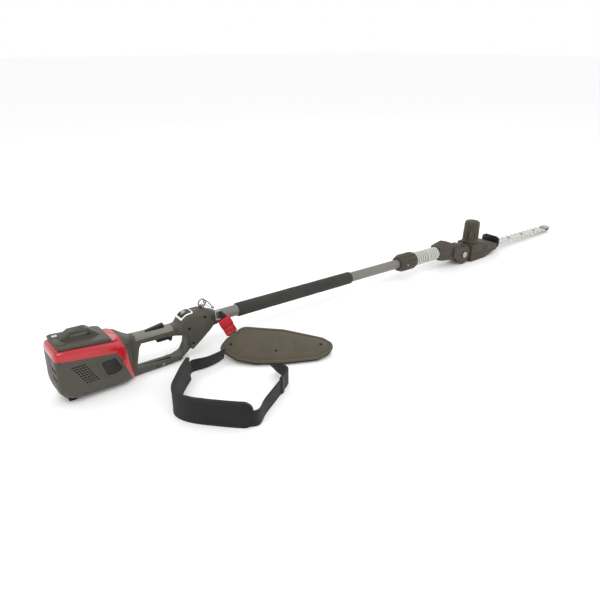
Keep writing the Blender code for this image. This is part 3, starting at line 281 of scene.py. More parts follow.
def workedMetal(name, screen, rough=0.3, along=(1, 30, 30), marks=0.35, metal=1.0):
    # brushing lines that run along the piece, dull patches and small stains
    paint, colour = Paint(name), linear(*screen)
    lines = paint.noise(90, 5, 0.65, paint.stretched(along))
    dull, stain = paint.noise(34, 4, 0.6), paint.noise(170, 4, 0.7)
    tone = paint.mix(lines.between(0.35, 0.7), shade(colour, 1 - marks * 0.5), shade(colour, 1 + marks * 0.3))
    tone = paint.mix(stain.between(0.62, 0.85, 0, 0.5), tone, shade(colour, 0.5))
    gloss = dull.between(0.3, 0.7, rough - 0.07, rough + 0.12)
    return paint.finish(tone, gloss, paint.bump(lines, 0.18, 0.0001), Metallic=metal)


def wovenStrap(name, screen, pitch=0.0022, rib=0.0011):
    # the strap's own UV runs in metres: across it, then along it
    paint, colour = Paint(name), linear(*screen)
    across, along, _ = paint.parts(paint.put("ShaderNodeTexCoord", out="UV"))
    warp = (across * (math.tau / rib)).wave()
    weft = (along * (math.tau / pitch)).wave()
    step = (along * (math.pi / pitch) + across * (math.pi / rib)).wave()
    thread = warp * 0.5 + weft * 0.35 + step * 0.4
    fuzz, flow = paint.noise(2600, 3, 0.7), paint.noise(20, 4, 0.6)
    tone = paint.mix(thread.between(-0.9, 0.9), shade(colour, 0.62), shade(colour, 1.35))
    tone = paint.mix(fuzz.between(0.5, 0.8, 0, 0.45), tone, shade(colour, 1.7))
    tone = paint.mix(flow.between(0.4, 0.75, 0, 0.25), tone, shade(colour, 0.7))
    return paint.finish(tone, 0.88, paint.bump(thread + fuzz * 0.5, 0.8, 0.0005), Sheen_Weight=0.1,
                        Sheen_Roughness=0.4, Specular_IOR_Level=0.3)


def knitCloth(name, screen, pitch=0.0016, fuzzy=0.35):
    paint, colour = Paint(name), linear(*screen)
    x, y, z = paint.parts(paint.stretched((1, 1, 1), (0, 0, 0.52)))
    loops = (x * (math.tau / pitch)).wave() * (y * (math.tau / pitch) + z * (math.tau / pitch * 0.6)).wave()
    fuzz, flow, nap = paint.noise(3000, 3, 0.7), paint.noise(16, 4, 0.6), paint.noise(90, 5, 0.6)
    tone = paint.mix(flow.between(0.3, 0.72), shade(colour, 0.82), shade(colour, 1.12))
    tone = paint.mix(loops.between(-0.5, 0.9, 0.0, 0.42), tone, shade(colour, 1.35))
    tone = paint.mix(nap.between(0.5, 0.8, 0, 0.3), tone, shade(colour, 0.68))
    return paint.finish(tone, 0.93, paint.bump(loops + fuzz * fuzzy * 2, 0.55, 0.0004), Sheen_Weight=0.12,
                        Sheen_Roughness=0.45, Specular_IOR_Level=0.2)


finishes = {
    "casing": mouldedPlastic("casingGrain", (70, 68, 60), 0.5),
    "red_shell": glossShell("redShell", (168, 16, 28)),
    "grip_rubber": softRubber("gripRubber", (122, 120, 112)),
    "white_trim": mouldedPlastic("whiteTrim", (236, 236, 232), 0.35, 0.15, 900, 0.03),
    "black_plastic": mouldedPlastic("blackPlastic", (27, 27, 26), 0.42),
    "foot_rubber": softRubber("footRubber", (24, 24, 23), 0.8, 1800),
    "steel": workedMetal("plainSteel", (150, 150, 148), 0.36, (1, 12, 12)),
    "board": glossShell("boardLacquer", (30, 84, 52), 0.3),
    "tube": coatedTube("tubeCoat", (104, 103, 98)),
    "foam": closedFoam("gripFoam", (54, 55, 50)),
    "pale_plastic": mouldedPlastic("palePlastic", (158, 158, 151), 0.4),
    "head_plastic": mouldedPlastic("headGrain", (62, 56, 45), 0.52, 0.4),
    "sleeve_plastic": mouldedPlastic("sleevePlastic", (184, 186, 180), 0.42),
    "silver": workedMetal("silverFinish", (176, 176, 172), 0.34, (14, 14, 1), 0.25),
    "blade_steel": workedMetal("bladeSteel", (212, 212, 206), 0.26, (0.6, 30, 30), 0.3),
    "webbing": wovenStrap("strapWeave", (33, 33, 32)),
    "buckle_red": mouldedPlastic("buckleRed", (178, 28, 40), 0.36, 0.2, 1200, 0.06),
    "pad_cloth": knitCloth("hipCloth", (84, 77, 65)),
    "pad_cloth_dark": knitCloth("padCloth", (31, 31, 31), 0.0012),
}
print("finishes made:", len(finishes))


# modelling helpers

def only(piece):
    bpy.ops.object.select_all(action="DESELECT")
    piece.select_set(True)
    bpy.context.view_layer.objects.active = piece
    return piece


def applied(piece, kind, **settings):
    only(piece)
    modifier = piece.modifiers.new(kind.lower(), kind)
    for key, value in settings.items():
        setattr(modifier, key, value)
    bpy.ops.object.modifier_apply(modifier=modifier.name)
    return piece


def edit(piece, *steps):
    # each step is (operator, its settings), run on all of the mesh
    only(piece)
    bpy.ops.object.mode_set(mode="EDIT")
    for step, settings in steps:
        bpy.ops.mesh.select_all(action="SELECT")
        step(**settings)
    bpy.ops.object.mode_set(mode="OBJECT")
    return piece


def closeUp(piece):
    return edit(piece, (bpy.ops.mesh.remove_doubles, {"threshold": 0.00001}),
                (bpy.ops.mesh.dissolve_degenerate, {"threshold": 0.00001}),
                (bpy.ops.mesh.normals_make_consistent, {"inside": False}))


def smooth(piece, angle=32):
    only(piece)
    bpy.ops.object.shade_smooth_by_angle(angle=math.radians(angle))
    return piece


def place(piece, space=toolSpace):
    only(piece)
    bpy.ops.object.transform_apply(location=True, rotation=True, scale=True)
    piece.data.transform(space)
    return piece


def settle(piece, body, slot, *replaced):
    piece.data.materials.clear()
    piece.data.materials.append(finishes[slot])
    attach(piece, body)
    if replaced:
        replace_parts(piece, *replaced)
    piece.select_set(False)
    return piece


def refined(node, edge=0.0006, segments=2, angle=32, flat=1.5):
    # a merged copy of a CAD node with its flat faces joined up and its edges rounded
    piece = nodes[node].copy()
    piece.data = nodes[node].data.copy()
    piece.parent = None
    piece.name = node + "_skin"
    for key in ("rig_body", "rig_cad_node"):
        del piece[key]
    bpy.context.scene.collection.objects.link(piece)
    edit(piece, (bpy.ops.mesh.remove_doubles, {"threshold": 0.00001}),
         (bpy.ops.mesh.dissolve_limited, {"angle_limit": math.radians(flat)}))
    if edge:
        applied(piece, "BEVEL", width=edge, segments=segments, limit_method="ANGLE", angle_limit=math.radians(angle),
                harden_normals=False, use_clamp_overlap=True)
    return smooth(piece, angle)


def cut(piece, cutter):
    applied(piece, "BOOLEAN", operation="DIFFERENCE", solver="EXACT", object=cutter)
    bpy.data.objects.remove(cutter)
    return piece


def upright(x, y=0.0, z=0.0):
    # local X points up, for pieces turned about a standing line
    return toolSpace @ Matrix.Translation((x * mm, y * mm, z * mm)) @ Matrix.Rotation(-math.pi / 2, 4, "Y")


def sideways(x, z, y=0.0):
    # local X points to the left, for pieces turned about a line across the tool
    return toolSpace @ Matrix.Translation((x * mm, y * mm, z * mm)) @ Matrix.Rotation(math.pi / 2, 4, "Z")


def looped(name, points):
    # a closed loop of edges through points, to fill, spin or extrude
    bpy.ops.object.select_all(action="DESELECT")
    bpy.ops.mesh.primitive_circle_add(vertices=len(points), radius=mm)
    piece = bpy.context.object
    piece.name = name
    for vertex, spot in zip(piece.data.vertices, points):
        vertex.co = Vector(spot) * mm
    return piece


def spun(name, profile, steps=72, space=toolSpace, angle=30):
    # a closed (along, radius) profile turned about local X
    piece = looped(name, [(along, radius, 0) for along, radius in profile])
    edit(piece, (bpy.ops.mesh.spin, {"steps": steps, "angle": math.tau, "center": (0, 0, 0), "axis": (1, 0, 0)}))
    closeUp(piece)
    edit(piece, (bpy.ops.mesh.delete_loose, {"use_verts": True, "use_edges": True, "use_faces": False}))
    return smooth(place(piece, space), angle)


def slab(name, points, low, high, edge=0.0, segments=2, space=toolSpace):
    # an outline in the XZ plane given a thickness along Y, with rounded edges
    piece = looped(name, [(x, low, z) for x, z in points])
    edit(piece, (bpy.ops.mesh.edge_face_add, {}),
         (bpy.ops.mesh.extrude_region_move, {"TRANSFORM_OT_translate": {"value": (0, (high - low) * mm, 0)}}))
    closeUp(piece)
    if edge:
        applied(piece, "BEVEL", width=edge * mm, segments=segments, limit_method="ANGLE", angle_limit=math.radians(30))
    return smooth(place(piece, space), 32)


def blockPiece(name, low, high, edge=0.6, space=toolSpace, segments=2):
    bpy.ops.object.select_all(action="DESELECT")
    middle = [(a + b) / 2 * mm for a, b in zip(low, high)]
    bpy.ops.mesh.primitive_cube_add(size=1, location=middle, scale=[(b - a) * mm for a, b in zip(low, high)])
    piece = bpy.context.object
    piece.name = name
    bpy.ops.object.transform_apply(location=True, rotation=True, scale=True)
    if edge:
        applied(piece, "BEVEL", width=edge * mm, segments=segments)
    return smooth(place(piece, space), 32)


def arcs(corners, steps=5):
    # (x, z, radius) corners with their rounds drawn in
    points = []
    for i, (x, z, radius) in enumerate(corners):
        here = Vector((x, z))
        before = Vector(corners[i - 1][:2]) - here
        after = Vector(corners[(i + 1) % len(corners)][:2]) - here
        if radius <= 0:
            points.append((x, z))
            continue
        half = before.angle(after) / 2
        back = min(radius / math.tan(half), before.length * 0.48, after.length * 0.48)
        start, end = here + before.normalized() * back, here + after.normalized() * back
        for k in range(steps + 1):
            t = k / steps
            spot = start * (1 - t) ** 2 + here * (2 * t * (1 - t)) + end * t * t
            points.append((spot.x, spot.y))
    return points


def wire(name, points, radius, space=None, ends=True, rounds=8):
    # a smooth wire through points, in metres, made a mesh
    data = bpy.data.curves.new(name, "CURVE")
    data.dimensions, data.bevel_depth, data.bevel_resolution, data.use_fill_caps = "3D", radius, rounds // 2, ends
    spline = data.splines.new("POLY")
    line = softLine(points, 6)
    spline.points.add(len(line) - 1)
    for knot, spot in zip(spline.points, line):
        knot.co = (*spot[:3], 1)
    piece = bpy.data.objects.new(name, data)
    bpy.context.scene.collection.objects.link(piece)
    only(piece)
    bpy.ops.object.convert(target="MESH")
    piece = bpy.context.object
    if space:
        piece.data.transform(space)
    return smooth(piece, 50)


def softLine(points, steps):
    # a curve that passes through each of its points
    route = [Vector(p) for p in points]
    route = [2 * route[0] - route[1], *route, 2 * route[-1] - route[-2]]
    line = []
    for a, b, c, d in zip(route, route[1:], route[2:], route[3:]):
        for k in range(steps):
            t = k / steps
            line.append(0.5 * (2 * b + (c - a) * t + (2 * a - 5 * b + 4 * c - d) * t * t
                               + (3 * b - a - 3 * c + d) * t ** 3))
    return [*line, route[-2]]


def strap(name, route, width, thick, steps=12, cells=8, ends=(0, 0), waves=0.0, edge=0.0006):
    # webbing on edge or lying, along (x, y, z, lean) points in millimetres; its UV is in metres
    line = softLine(route, steps)
    rows = len(line)
    bpy.ops.object.select_all(action="DESELECT")
    bpy.ops.mesh.primitive_grid_add(x_subdivisions=cells, y_subdivisions=rows - 1, size=1)
    piece = bpy.context.object
    piece.name = name
    lengths = [0.0]
    for a, b in zip(line, line[1:]):
        lengths.append(lengths[-1] + (b.xyz - a.xyz).length)
    whole = lengths[-1]
    where = {}
    for vertex in piece.data.vertices:
        across, row = vertex.co.x + 0.5, round((vertex.co.y + 0.5) * (rows - 1))
        ahead, behind = line[min(row + 1, rows - 1)], line[max(row - 1, 0)]
        run = Vector((ahead.x - behind.x, ahead.y - behind.y, 0)).normalized()
        side, lean = Vector((-run.y, run.x, 0)), math.radians(line[row].w)
        up = Vector((0, 0, 1)) * math.cos(lean) + side * math.sin(lean)
        out = side * math.cos(lean) - Vector((0, 0, 1)) * math.sin(lean)
        share = 1.0
        for end, gone in ((ends[0], lengths[row]), (ends[1], whole - lengths[row])):
            if end and gone < end:
                share = min(share, math.sqrt(max(0.0, 1 - (1 - gone / end) ** 2)) * 0.72 + 0.28)
        swell = waves * math.sin(lengths[row] / 11.0) * math.sin(math.pi * across)
        where[vertex.index] = (across * width * mm, lengths[row] * mm)
        vertex.co = (line[row].xyz + up * (across - 0.5) * width * share + out * swell) * mm
    layer = piece.data.uv_layers.active or piece.data.uv_layers.new(name="strapUv")
    for loop in piece.data.loops:
        layer.data[loop.index].uv = where[loop.vertex_index]
    applied(piece, "SOLIDIFY", thickness=thick * mm, offset=0, use_even_offset=True)
    if edge:
        applied(piece, "BEVEL", width=edge, segments=2, limit_method="ANGLE", angle_limit=math.radians(50))
    edit(piece, (bpy.ops.mesh.normals_make_consistent, {"inside": False}))
    return smooth(piece, 40)


def stitches(name, route, width, offset, out, pitch=5.0, length=3.4, start=6.0, stop=6.0):
    # one thread stitch is modelled, then copied along a line at a height across the strap
    line = softLine(route, 24)
    gone, due, made = 0.0, start, []
    whole = sum((b.xyz - a.xyz).length for a, b in zip(line, line[1:]))
    for a, b in zip(line, line[1:]):
        gone += (b.xyz - a.xyz).length
        if gone < due or gone > whole - stop:
            continue
        due += pitch
        run = (b.xyz - a.xyz).normalized()
        side, lean = Vector((-run.y, run.x, 0)).normalized(), math.radians(b.w)
        up = Vector((0, 0, 1)) * math.cos(lean) + side * math.sin(lean)
        face = side * math.cos(lean) - Vector((0, 0, 1)) * math.sin(lean)
        turn = Matrix((run, up, run.cross(up))).transposed().to_4x4()
        turn.translation = (b.xyz + up * offset * width + face * out) * mm
        made.append(turn)
    first = blockPiece(name, (-length / 2, -0.45, -0.4), (length / 2, 0.45, 0.4), 0.25, Matrix.Identity(4), 1)
    copies = []
    for turn in made[1:]:
        twin = first.copy()
        twin.data = first.data.copy()
        twin.data.transform(turn)
        bpy.context.scene.collection.objects.link(twin)
        copies.append(twin)
    first.data.transform(made[0])
    only(first)
    for twin in copies:
        twin.select_set(True)
    bpy.ops.object.join()
    return first


def joined(name, *pieces):
    bpy.ops.object.select_all(action="DESELECT")
    for piece in pieces:
        piece.select_set(True)
    bpy.context.view_layer.objects.active = pieces[0]
    bpy.ops.object.join()
    pieces[0].name = name
    return pieces[0]


# pole: tube, foam grip, clamp collar, ribbed sleeves

pole = {"tube": 30.0, "inner": 26.0, "wall": 1.5, "foam": 37.0, "foamLength": 410.0, "collar": 58.0, "collarEnd": 47.0,
        "collarLength": 76.0, "collarBore": 19.3, "flutes": 12,
        "sleeve": 45.0, "rib": 1.7, "ribs": 5}


def lengthIn(node):
    # where a CAD node starts and ends along the pole, in tool millimetres
    away = toolSpace.inverted()
    spots = [(away @ v.co).x / mm for v in nodes[node].data.vertices]
    return min(spots), max(spots)


def makePole():
    rear, front = lengthIn("outer_tube")
    half, wall = pole["tube"] / 2, pole["wall"]
    tube = spun("tubeOuter", [(rear, half - wall), (rear, half - 0.3), (rear + 0.3, half), (front - 0.4, half),
                              (front, half - 0.4), (front, half - wall)], 96)
    settle(tube, "tool", "tube", "outer_tube")
    rear, front = lengthIn("inner_tube")
    half = pole["inner"] / 2
    inner = spun("tubeInner", [(rear, half - wall), (rear, half - 0.3), (rear + 0.3, half), (front - 0.3, half),
                               (front, half - 0.3), (front, half - wall)], 96)
    settle(inner, "extension", "tube", "inner_tube")
    r, bore, long = pole["foam"] / 2, pole["tube"] / 2 + 0.3, pole["foamLength"]
    profile = [(0, bore), (0, r - 2.2), (0.5, r - 1.0), (1.6, r - 0.3), (3.2, r)]
    for k in range(1, 24):    # foam is never quite even
        profile.append((3.2 + (long - 6.4) * k / 24, r + 0.10 * math.sin(k * 1.9) + 0.08 * math.sin(k * 0.7)))
    profile += [(long - 3.2, r), (long - 1.6, r - 0.3), (long - 0.5, r - 1.0), (long, r - 2.2), (long, bore)]
    settle(spun("foamGripSkin", profile, 96), "tool", "foam", "foam_grip")


def makeCollar():
    low, r, end, inside = collarRear / mm, pole["collar"] / 2, pole["collarEnd"] / 2, pole["collarBore"]
    high = low + pole["collarLength"]
    profile = [(low, 15.4), (low, end - 1), (low + 1, end), (low + 12, r - 1.2), (low + 15, r), (high - 13, r),
               (high - 10, r - 0.8), (high - 1, end + 2), (high, end + 1), (high, 13.4), (high - 8, 13.4),
               (high - 8, inside), (low + 10, inside), (low + 10, 15.4)]
    piece = spun("collarSkin", profile, pole["flutes"] * 8)
    # every flute is three strips of the grip band pushed in
    away, mesh = toolSpace.inverted(), piece.data
    only(piece)
    bpy.ops.object.mode_set(mode="EDIT")
    bpy.ops.mesh.select_all(action="DESELECT")
    bpy.ops.object.mode_set(mode="OBJECT")
    for face in mesh.polygons:
        spot = away @ face.center
        turn = math.degrees(math.atan2(spot.z, spot.y)) % (360 / pole["flutes"])
        radius = math.hypot(spot.y, spot.z) / mm
        face.select = radius > r - 1 and low + 16 < spot.x / mm < high - 14 and turn < 360 / pole["flutes"] * 0.4
    bpy.ops.object.mode_set(mode="EDIT")
    bpy.ops.mesh.inset(thickness=0.8 * mm, depth=-1.5 * mm)
    bpy.ops.object.mode_set(mode="OBJECT")
    smooth(piece, 28)
    settle(piece, "collar", "head_plastic", "twist_collar")
    for k in range(3):
        turn = Matrix.Rotation(math.radians(120 * k + 62), 4, "X")
        mark = slab("collarMark%d" % (k + 1), arcs([(low + 20, -3, 1.5), (low + 27, 0, 1), (low + 20, 3, 1.5)]),
                    r - 0.4, r + 0.35, 0.2, space=toolSpace @ turn)
        settle(mark, "collar", "sleeve_plastic")


def makeSleeves():
    r, rib = pole["sleeve"] / 2, pole["rib"]
    for name in ("sleeve_1", "sleeve_2"):
        low, high = lengthIn(name)
        profile = [(low, 13.3), (low, r - 2.2), (low + 0.8, r - 1.2)]
        steps = (high - low - 6) / pole["ribs"]
        for k in range(pole["ribs"]):
            x = low + 3 + steps * k
            profile += [(x, r - rib), (x + 0.8, r), (x + steps * 0.62, r), (x + steps * 0.62 + 0.8, r - rib)]
        profile += [(high - 0.8, r - 1.2), (high, r - 2.2), (high, 13.3)]
        settle(spun(name + "Ribbed", profile, 80), "extension", "sleeve_plastic", name)
        for k in range(pole["ribs"]):    # a thin darker ring on each groove floor is painted shade in the grooves
            x = low + 3 + steps * k + steps * 0.62 + 1.0
            stop, inside, outside = x + steps * 0.38 - 1.2, r - rib - 0.4, r - rib + 0.25
            grooveShade = spun("%sLiner%d" % (name, k + 1), [(x, inside), (x, outside), (stop, outside), (stop, inside)], 64)
            settle(grooveShade, "extension", "head_plastic")


makePole()
makeCollar()
makeSleeves()
print("pole made")


# cutting head: motor cover, bar bolts, gearbox screws and ribs, ribs and panels on the pivot bracket

headSizes = {"motorX": 1016.0, "coverR": 28.5, "coverTop": 86.0, "vents": 14, "boltR": 4.6,
             "bolts": (1186.0, 1276.0, 1366.0, 1456.0, 1526.0), "boltZ": -23.7,
             "screws": ((1000, -27, 6.4), (1000, 27, 6.4), (1094, -27, -5.5), (1094, 27, -5.5)), "screwR": 3.4,
             "gearboxRibs": (1058, 1068, 1078), "gearboxHalf": 33.4, "ribOut": 1.6, "bracketRibs": (-12, 0, 12)}


def makeMotorCover():
    r, top, x = headSizes["coverR"], headSizes["coverTop"], headSizes["motorX"]
    profile = [(7.3, 25), (7.3, r + 1.5), (8.6, r + 1.8), (13, r + 1.6), (14.2, r + 0.3), (16, r), (58, r - 1.1),
               (59, r - 1.9), (61, r - 1.9), (62, r - 1.2), (top - 9, r - 1.6), (top - 5, r - 2.8), (top - 2, r - 5.2),
               (top - 0.5, r - 8), (top, r - 11), (top, 9), (top - 1, 8), (top - 1, 0), (top - 3, 0), (top - 3, 22)]
    cover = spun("motorCoverSkin", profile, 96, upright(x))
    slot = blockPiece("slotCutter", (20, -1.3, 20), (50, 1.3, 40), 0.9, upright(x))
    slots = []
    for k in range(headSizes["vents"]):
        twin = slot.copy()
        twin.data = slot.data.copy()
        space = upright(x) @ Matrix.Rotation(math.tau * (k + 0.5) / headSizes["vents"], 4, "X") @ upright(x).inverted()
        twin.data.transform(space)
        bpy.context.scene.collection.objects.link(twin)
        slots.append(twin)
    bpy.data.objects.remove(slot)
    smooth(cut(cover, joined("slotCutters", *slots)), 30)
    settle(cover, "head", "head_plastic", "motor_cover")
    cap = spun("motorCapRing", [(top - 1.0, 0), (top - 1.0, 6.5), (top - 0.4, 7.0), (top - 0.1, 6.4), (top - 0.1, 0)],
               48, upright(x))
    settle(cap, "head", "black_plastic")


def recessedScrew(name, space, radius, height, body, slot, socket=0.5):
    profile = [(0, 0), (0, radius), (height * 0.55, radius), (height * 0.85, radius * 0.88), (height, radius * 0.62),
               (height, 0)]
    head = spun(name, profile, 32, space)
    bpy.ops.object.select_all(action="DESELECT")
    bpy.ops.mesh.primitive_cylinder_add(vertices=6, radius=radius * socket * mm, depth=height * mm,
                                        rotation=(0, math.pi / 2, 0), location=(height * 0.85 * mm, 0, 0))
    tool = place(bpy.context.object, space)
    smooth(cut(head, tool), 30)
    return settle(head, body, slot)


def makeHeadFittings():
    for k, x in enumerate(headSizes["bolts"]):
        recessedScrew("barBolt%d" % (k + 1), upright(x, 0, headSizes["boltZ"]), headSizes["boltR"], 2.6, "head", "steel")
    for k, (x, y, z) in enumerate(headSizes["screws"]):
        recessedScrew("gearboxScrew%d" % (k + 1), upright(x, y, z - 0.4), headSizes["screwR"], 1.4, "head",
                      "black_plastic")
    # strengthening ribs on the sides of the gearbox and over the bracket
    half = headSizes["gearboxHalf"]
    for k, x in enumerate(headSizes["gearboxRibs"]):
        for side in (-1, 1):
            rib = slab("gearboxRib%d%s" % (k + 1, "L" if side > 0 else "R"),
                       arcs([(x, -28, 1), (x, -6 - k * 2, 1), (x + 3, -6 - k * 2, 1), (x + 3, -28, 1)]),
                       half * side, (half + headSizes["ribOut"]) * side, 0.5)
            settle(rib, "head", "head_plastic")
    rear = lengthIn("head_yoke")[0]
    for k, y in enumerate(headSizes["bracketRibs"]):
        rib = slab("bracketRib%d" % (k + 1), arcs([(rear + 6, 20, 1), (rear + 6, 24.2, 2), (rear + 48, 34.2, 6),
                                                   (rear + 80, 25.2, 3), (rear + 80, 20, 1)]), y - 1.6, y + 1.6, 0.6)
        settle(rib, "extension", "head_plastic")
    for side in (-1, 1):
        plate = slab("bracketPanel%s" % ("L" if side > 0 else "R"),
                     arcs([(rear + 16, -14, 3), (rear + 12, 8, 3), (rear + 44, 15, 5), (rear + 66, 8, 4),
                           (rear + 58, -14, 4)]),
                     21.4 * side, 22.8 * side, 0.5)
        settle(plate, "extension", "head_plastic")


makeMotorCover()
makeHeadFittings()
print("head made")


# harness: straps, padded shoulder piece, moulded hip pad, hook and buckle

harnessSizes = {"web": 40.0, "leftWeb": 33.0, "thick": 2.4, "padHeight": 62.0, "padThick": 8.0}
padRoute = [(248, -105, 31, 0), (219, -132, 31, 0), (188, -165, 31, 0), (164, -194, 31, 0), (157, -221, 31, 0),
            (171, -257, 31, 0), (208, -301, 31, 0), (246, -340, 31, 0), (265, -354, 31, 0)]
leftRoute = [(358, -86, 24, 16), (332, -93, 24, 10), (301, -96, 24, 8), (267, -90, 24, 0), (250, -101, 24, 0),
             (232, -119, 26, 0)]
rightRoute = [(246, -341, 23, 0), (262, -353, 22, 0), (279, -355, 21.6, 0), (309, -333, 21.6, 0),
              (361, -303, 21.6, 0), (409, -275, 21.6, 0), (425, -260, 21.6, 0), (425, -236, 21.6, 12),
              (418, -208, 18.6, 40)]


def makeStraps():
    web, thick = harnessSizes["web"], harnessSizes["thick"]
    left = strap("strapLeft", leftRoute, harnessSizes["leftWeb"], thick, waves=0.5)
    settle(left, "harness", "webbing", "strap_left")
    right = strap("strapRight", rightRoute, web, thick, waves=0.7)
    settle(right, "harness", "webbing", "strap_right")
    pad = strap("shoulderPad", padRoute, harnessSizes["padHeight"], harnessSizes["padThick"], 14, 14, ends=(4, 22),
                edge=0)
    applied(pad, "BEVEL", width=0.0028, segments=4, limit_method="ANGLE", angle_limit=math.radians(50))
    settle(smooth(pad, 60), "harness", "pad_cloth_dark", "shoulder_pad")
    for name, height in (("padSeamLow", -0.40), ("padSeamHigh", 0.40)):
        for side, out in (("Out", -4.3), ("In", 4.3)):
            row = stitches(name + side, padRoute, harnessSizes["padHeight"], height, out, stop=20)
            settle(row, "harness", "black_plastic")
    for name, height in (("strapSeamLow", -0.42), ("strapSeamHigh", 0.42)):
        row = stitches(name, rightRoute[2:7], web, height, -1.5, 4.4, 3.0, 4, 4)
        settle(row, "harness", "black_plastic")


def hipSpace():
    run, tilt = Vector((0.866, -0.5, 0)), math.radians(20)
    over = Vector((0.5 * math.cos(tilt), 0.866 * math.cos(tilt), math.sin(tilt)))
    space = Matrix((run, over, run.cross(over))).transposed().to_4x4()
    space.translation = Vector((402, -149, 4.5)) * mm
    return space


hip = {"outline": [(-84, 55, 22), (-40, 14, 30), (5, -1, 40), (80, -6, 30), (162, -2, 40), (194, 13, 24), (212, 42, 22),
                   (186, 66, 34), (88, 104, 50), (-18, 124, 26), (-62, 86, 30)],
       "rim": 8.4, "steps": [(0.5, 0.4), (1.0, 0.6), (3.6, 0.15), (1.0, -0.7), (0.9, -0.9), (1.4, -0.2), (1.2, 0.9),
                             (3.0, 1.1), (7.0, 1.3), (11.0, 1.0), (12.0, 0.5)],
       "spine": ((-25, 62, 0), (165, 32, 0)), "cordR": 1.3, "cordHeight": 3.2,
       "studs": ((-52, 62), (176, 40), (60, 30))}


def makeHipPad():
    # a moulded pad: rounded rim, pressed gutter, then a crowned cushion, each drawn in from the one before
    points = arcs(hip["outline"], 9)
    piece = looped("hipPadSkin", [(x, y, 0.4) for x, y in points])
    only(piece)
    bpy.ops.object.mode_set(mode="EDIT")
    bpy.ops.mesh.select_all(action="SELECT")
    bpy.ops.mesh.edge_face_add()
    spine = [Vector(spot) * mm for spot in hip["spine"]]
    for inward, rise in ((0, hip["rim"]), *hip["steps"]):
        bpy.ops.mesh.extrude_region_move(TRANSFORM_OT_translate={"value": (0, 0, rise * mm)})
        bpy.ops.object.mode_set(mode="OBJECT")
        for vertex in piece.data.vertices:
            if vertex.select:
                flat = Vector((vertex.co.x, vertex.co.y, 0))
                t = (flat - spine[0]).dot(spine[1] - spine[0]) / (spine[1] - spine[0]).length_squared
                home = spine[0].lerp(spine[1], min(1.0, max(0.0, t))) - flat
                vertex.co += home.normalized() * min(inward * mm, home.length * 0.8)
        bpy.ops.object.mode_set(mode="EDIT")
    bpy.ops.mesh.select_all(action="SELECT")
    bpy.ops.mesh.normals_make_consistent(inside=False)
    bpy.ops.object.mode_set(mode="OBJECT")
    smooth(place(piece, hipSpace()), 40)
    settle(piece, "harness", "pad_cloth", "hip_pad")
    # a dark cord is sewn round under the rim
    ring = [(hipSpace() @ (Vector((x, y, hip["cordHeight"])) * mm)) for x, y in points]
    cord = wire("hipPiping", [*ring, ring[0]], hip["cordR"] * mm, ends=False)
    settle(cord, "harness", "pad_cloth_dark")
    for k, (x, y) in enumerate(hip["studs"]):
        stud = spun("hipStud%d" % (k + 1), [(6.5, 0), (6.5, 4.4), (12.4, 4.2), (12.9, 3.4), (12.9, 0)], 32,
                    hipSpace() @ Matrix.Translation((x * mm, y * mm, 0)) @ Matrix.Rotation(-math.pi / 2, 4, "Y"))
        settle(stud, "harness", "pad_cloth_dark")


def makePiping():
    for name, height in (("padBindingLow", -0.45), ("padBindingHigh", 0.45)):
        tall = harnessSizes["padHeight"]
        route = [(x, y, z + height * tall, lean) for x, y, z, lean in padRoute[:-1]]
        tape = strap(name, route, tall * 0.09, 8.8, 14, 2, edge=0.0012)
        settle(tape, "harness", "webbing")
    (x0, y0, *_), (x1, y1, *_) = padRoute[5:7]
    cross = [(x0 + (x1 - x0) * t, y0 + (y1 - y0) * t, 31, 0) for t in (0.30, 0.42, 0.54)]
    settle(strap("padCrossBand", cross, 61.0, 9.0, 8, 6, edge=0.0008), "harness", "webbing")


def buckleSpace():
    start, finish = Vector((392, -31, 91)), Vector((415, -40, 36.2))
    run = (finish - start).normalized()
    wide = Vector((0.914, -0.11, 0.39))
    wide = (wide - run * wide.dot(run)).normalized()
    space = Matrix((wide, run, wide.cross(run))).transposed().to_4x4()
    space.translation = start * mm
    return space


buckle = {"ridges": 4, "firstRidge": 10, "ridgeStep": 3.4, "ridgeLong": 1.8, "ridgeHalfTall": 3.6,
          "ridge": (15.9, 17.0), "rail": (10.5, 12.5), "railHalfTall": 6.1,
          "rails": ((1.5, 25.0, "carry"), (29.0, 38.0, "harness")), "bar": (11.5, 46.2, 48.4, 6.2)}


def makeBuckle():
    space, tall, railTall = buckleSpace(), buckle["ridgeHalfTall"], buckle["railHalfTall"]
    for side in (-1, 1):
        letter = "A" if side < 0 else "B"
        inner, outer = sorted(side * edge for edge in buckle["ridge"])
        for k in range(buckle["ridges"]):    # finger ridges on both edges
            y = buckle["firstRidge"] + k * buckle["ridgeStep"]
            rib = blockPiece("buckleRidge%d%s" % (k + 1, letter), (inner, y, -tall),
                             (outer, y + buckle["ridgeLong"], tall), 0.4, space)
            settle(rib, "carry", "buckle_red")
        inner, outer = sorted(side * edge for edge in buckle["rail"])
        for k, (low, high, body) in enumerate(buckle["rails"]):    # a raised frame on both faces
            rail = blockPiece("buckleRail%d%s" % (k + 1, letter), (inner, low, -railTall),
                              (outer, high, railTall), 0.5, space)
            settle(rail, body, "buckle_red")
    half, low, high, barTall = buckle["bar"]
    bar = blockPiece("buckleBar", (-half, low, -barTall), (half, high, barTall), 0.8, space)
    settle(bar, "harness", "buckle_red")


hookSizes = {"eye": (-91.8, 0, 46.4), "ring": (369.3, -31, 120.3), "wire": 1.75, "barrelSide": 3.2,
             "carryEye": (-102, 0, 46.4), "carryR": 10.2, "carryWire": 2.1}


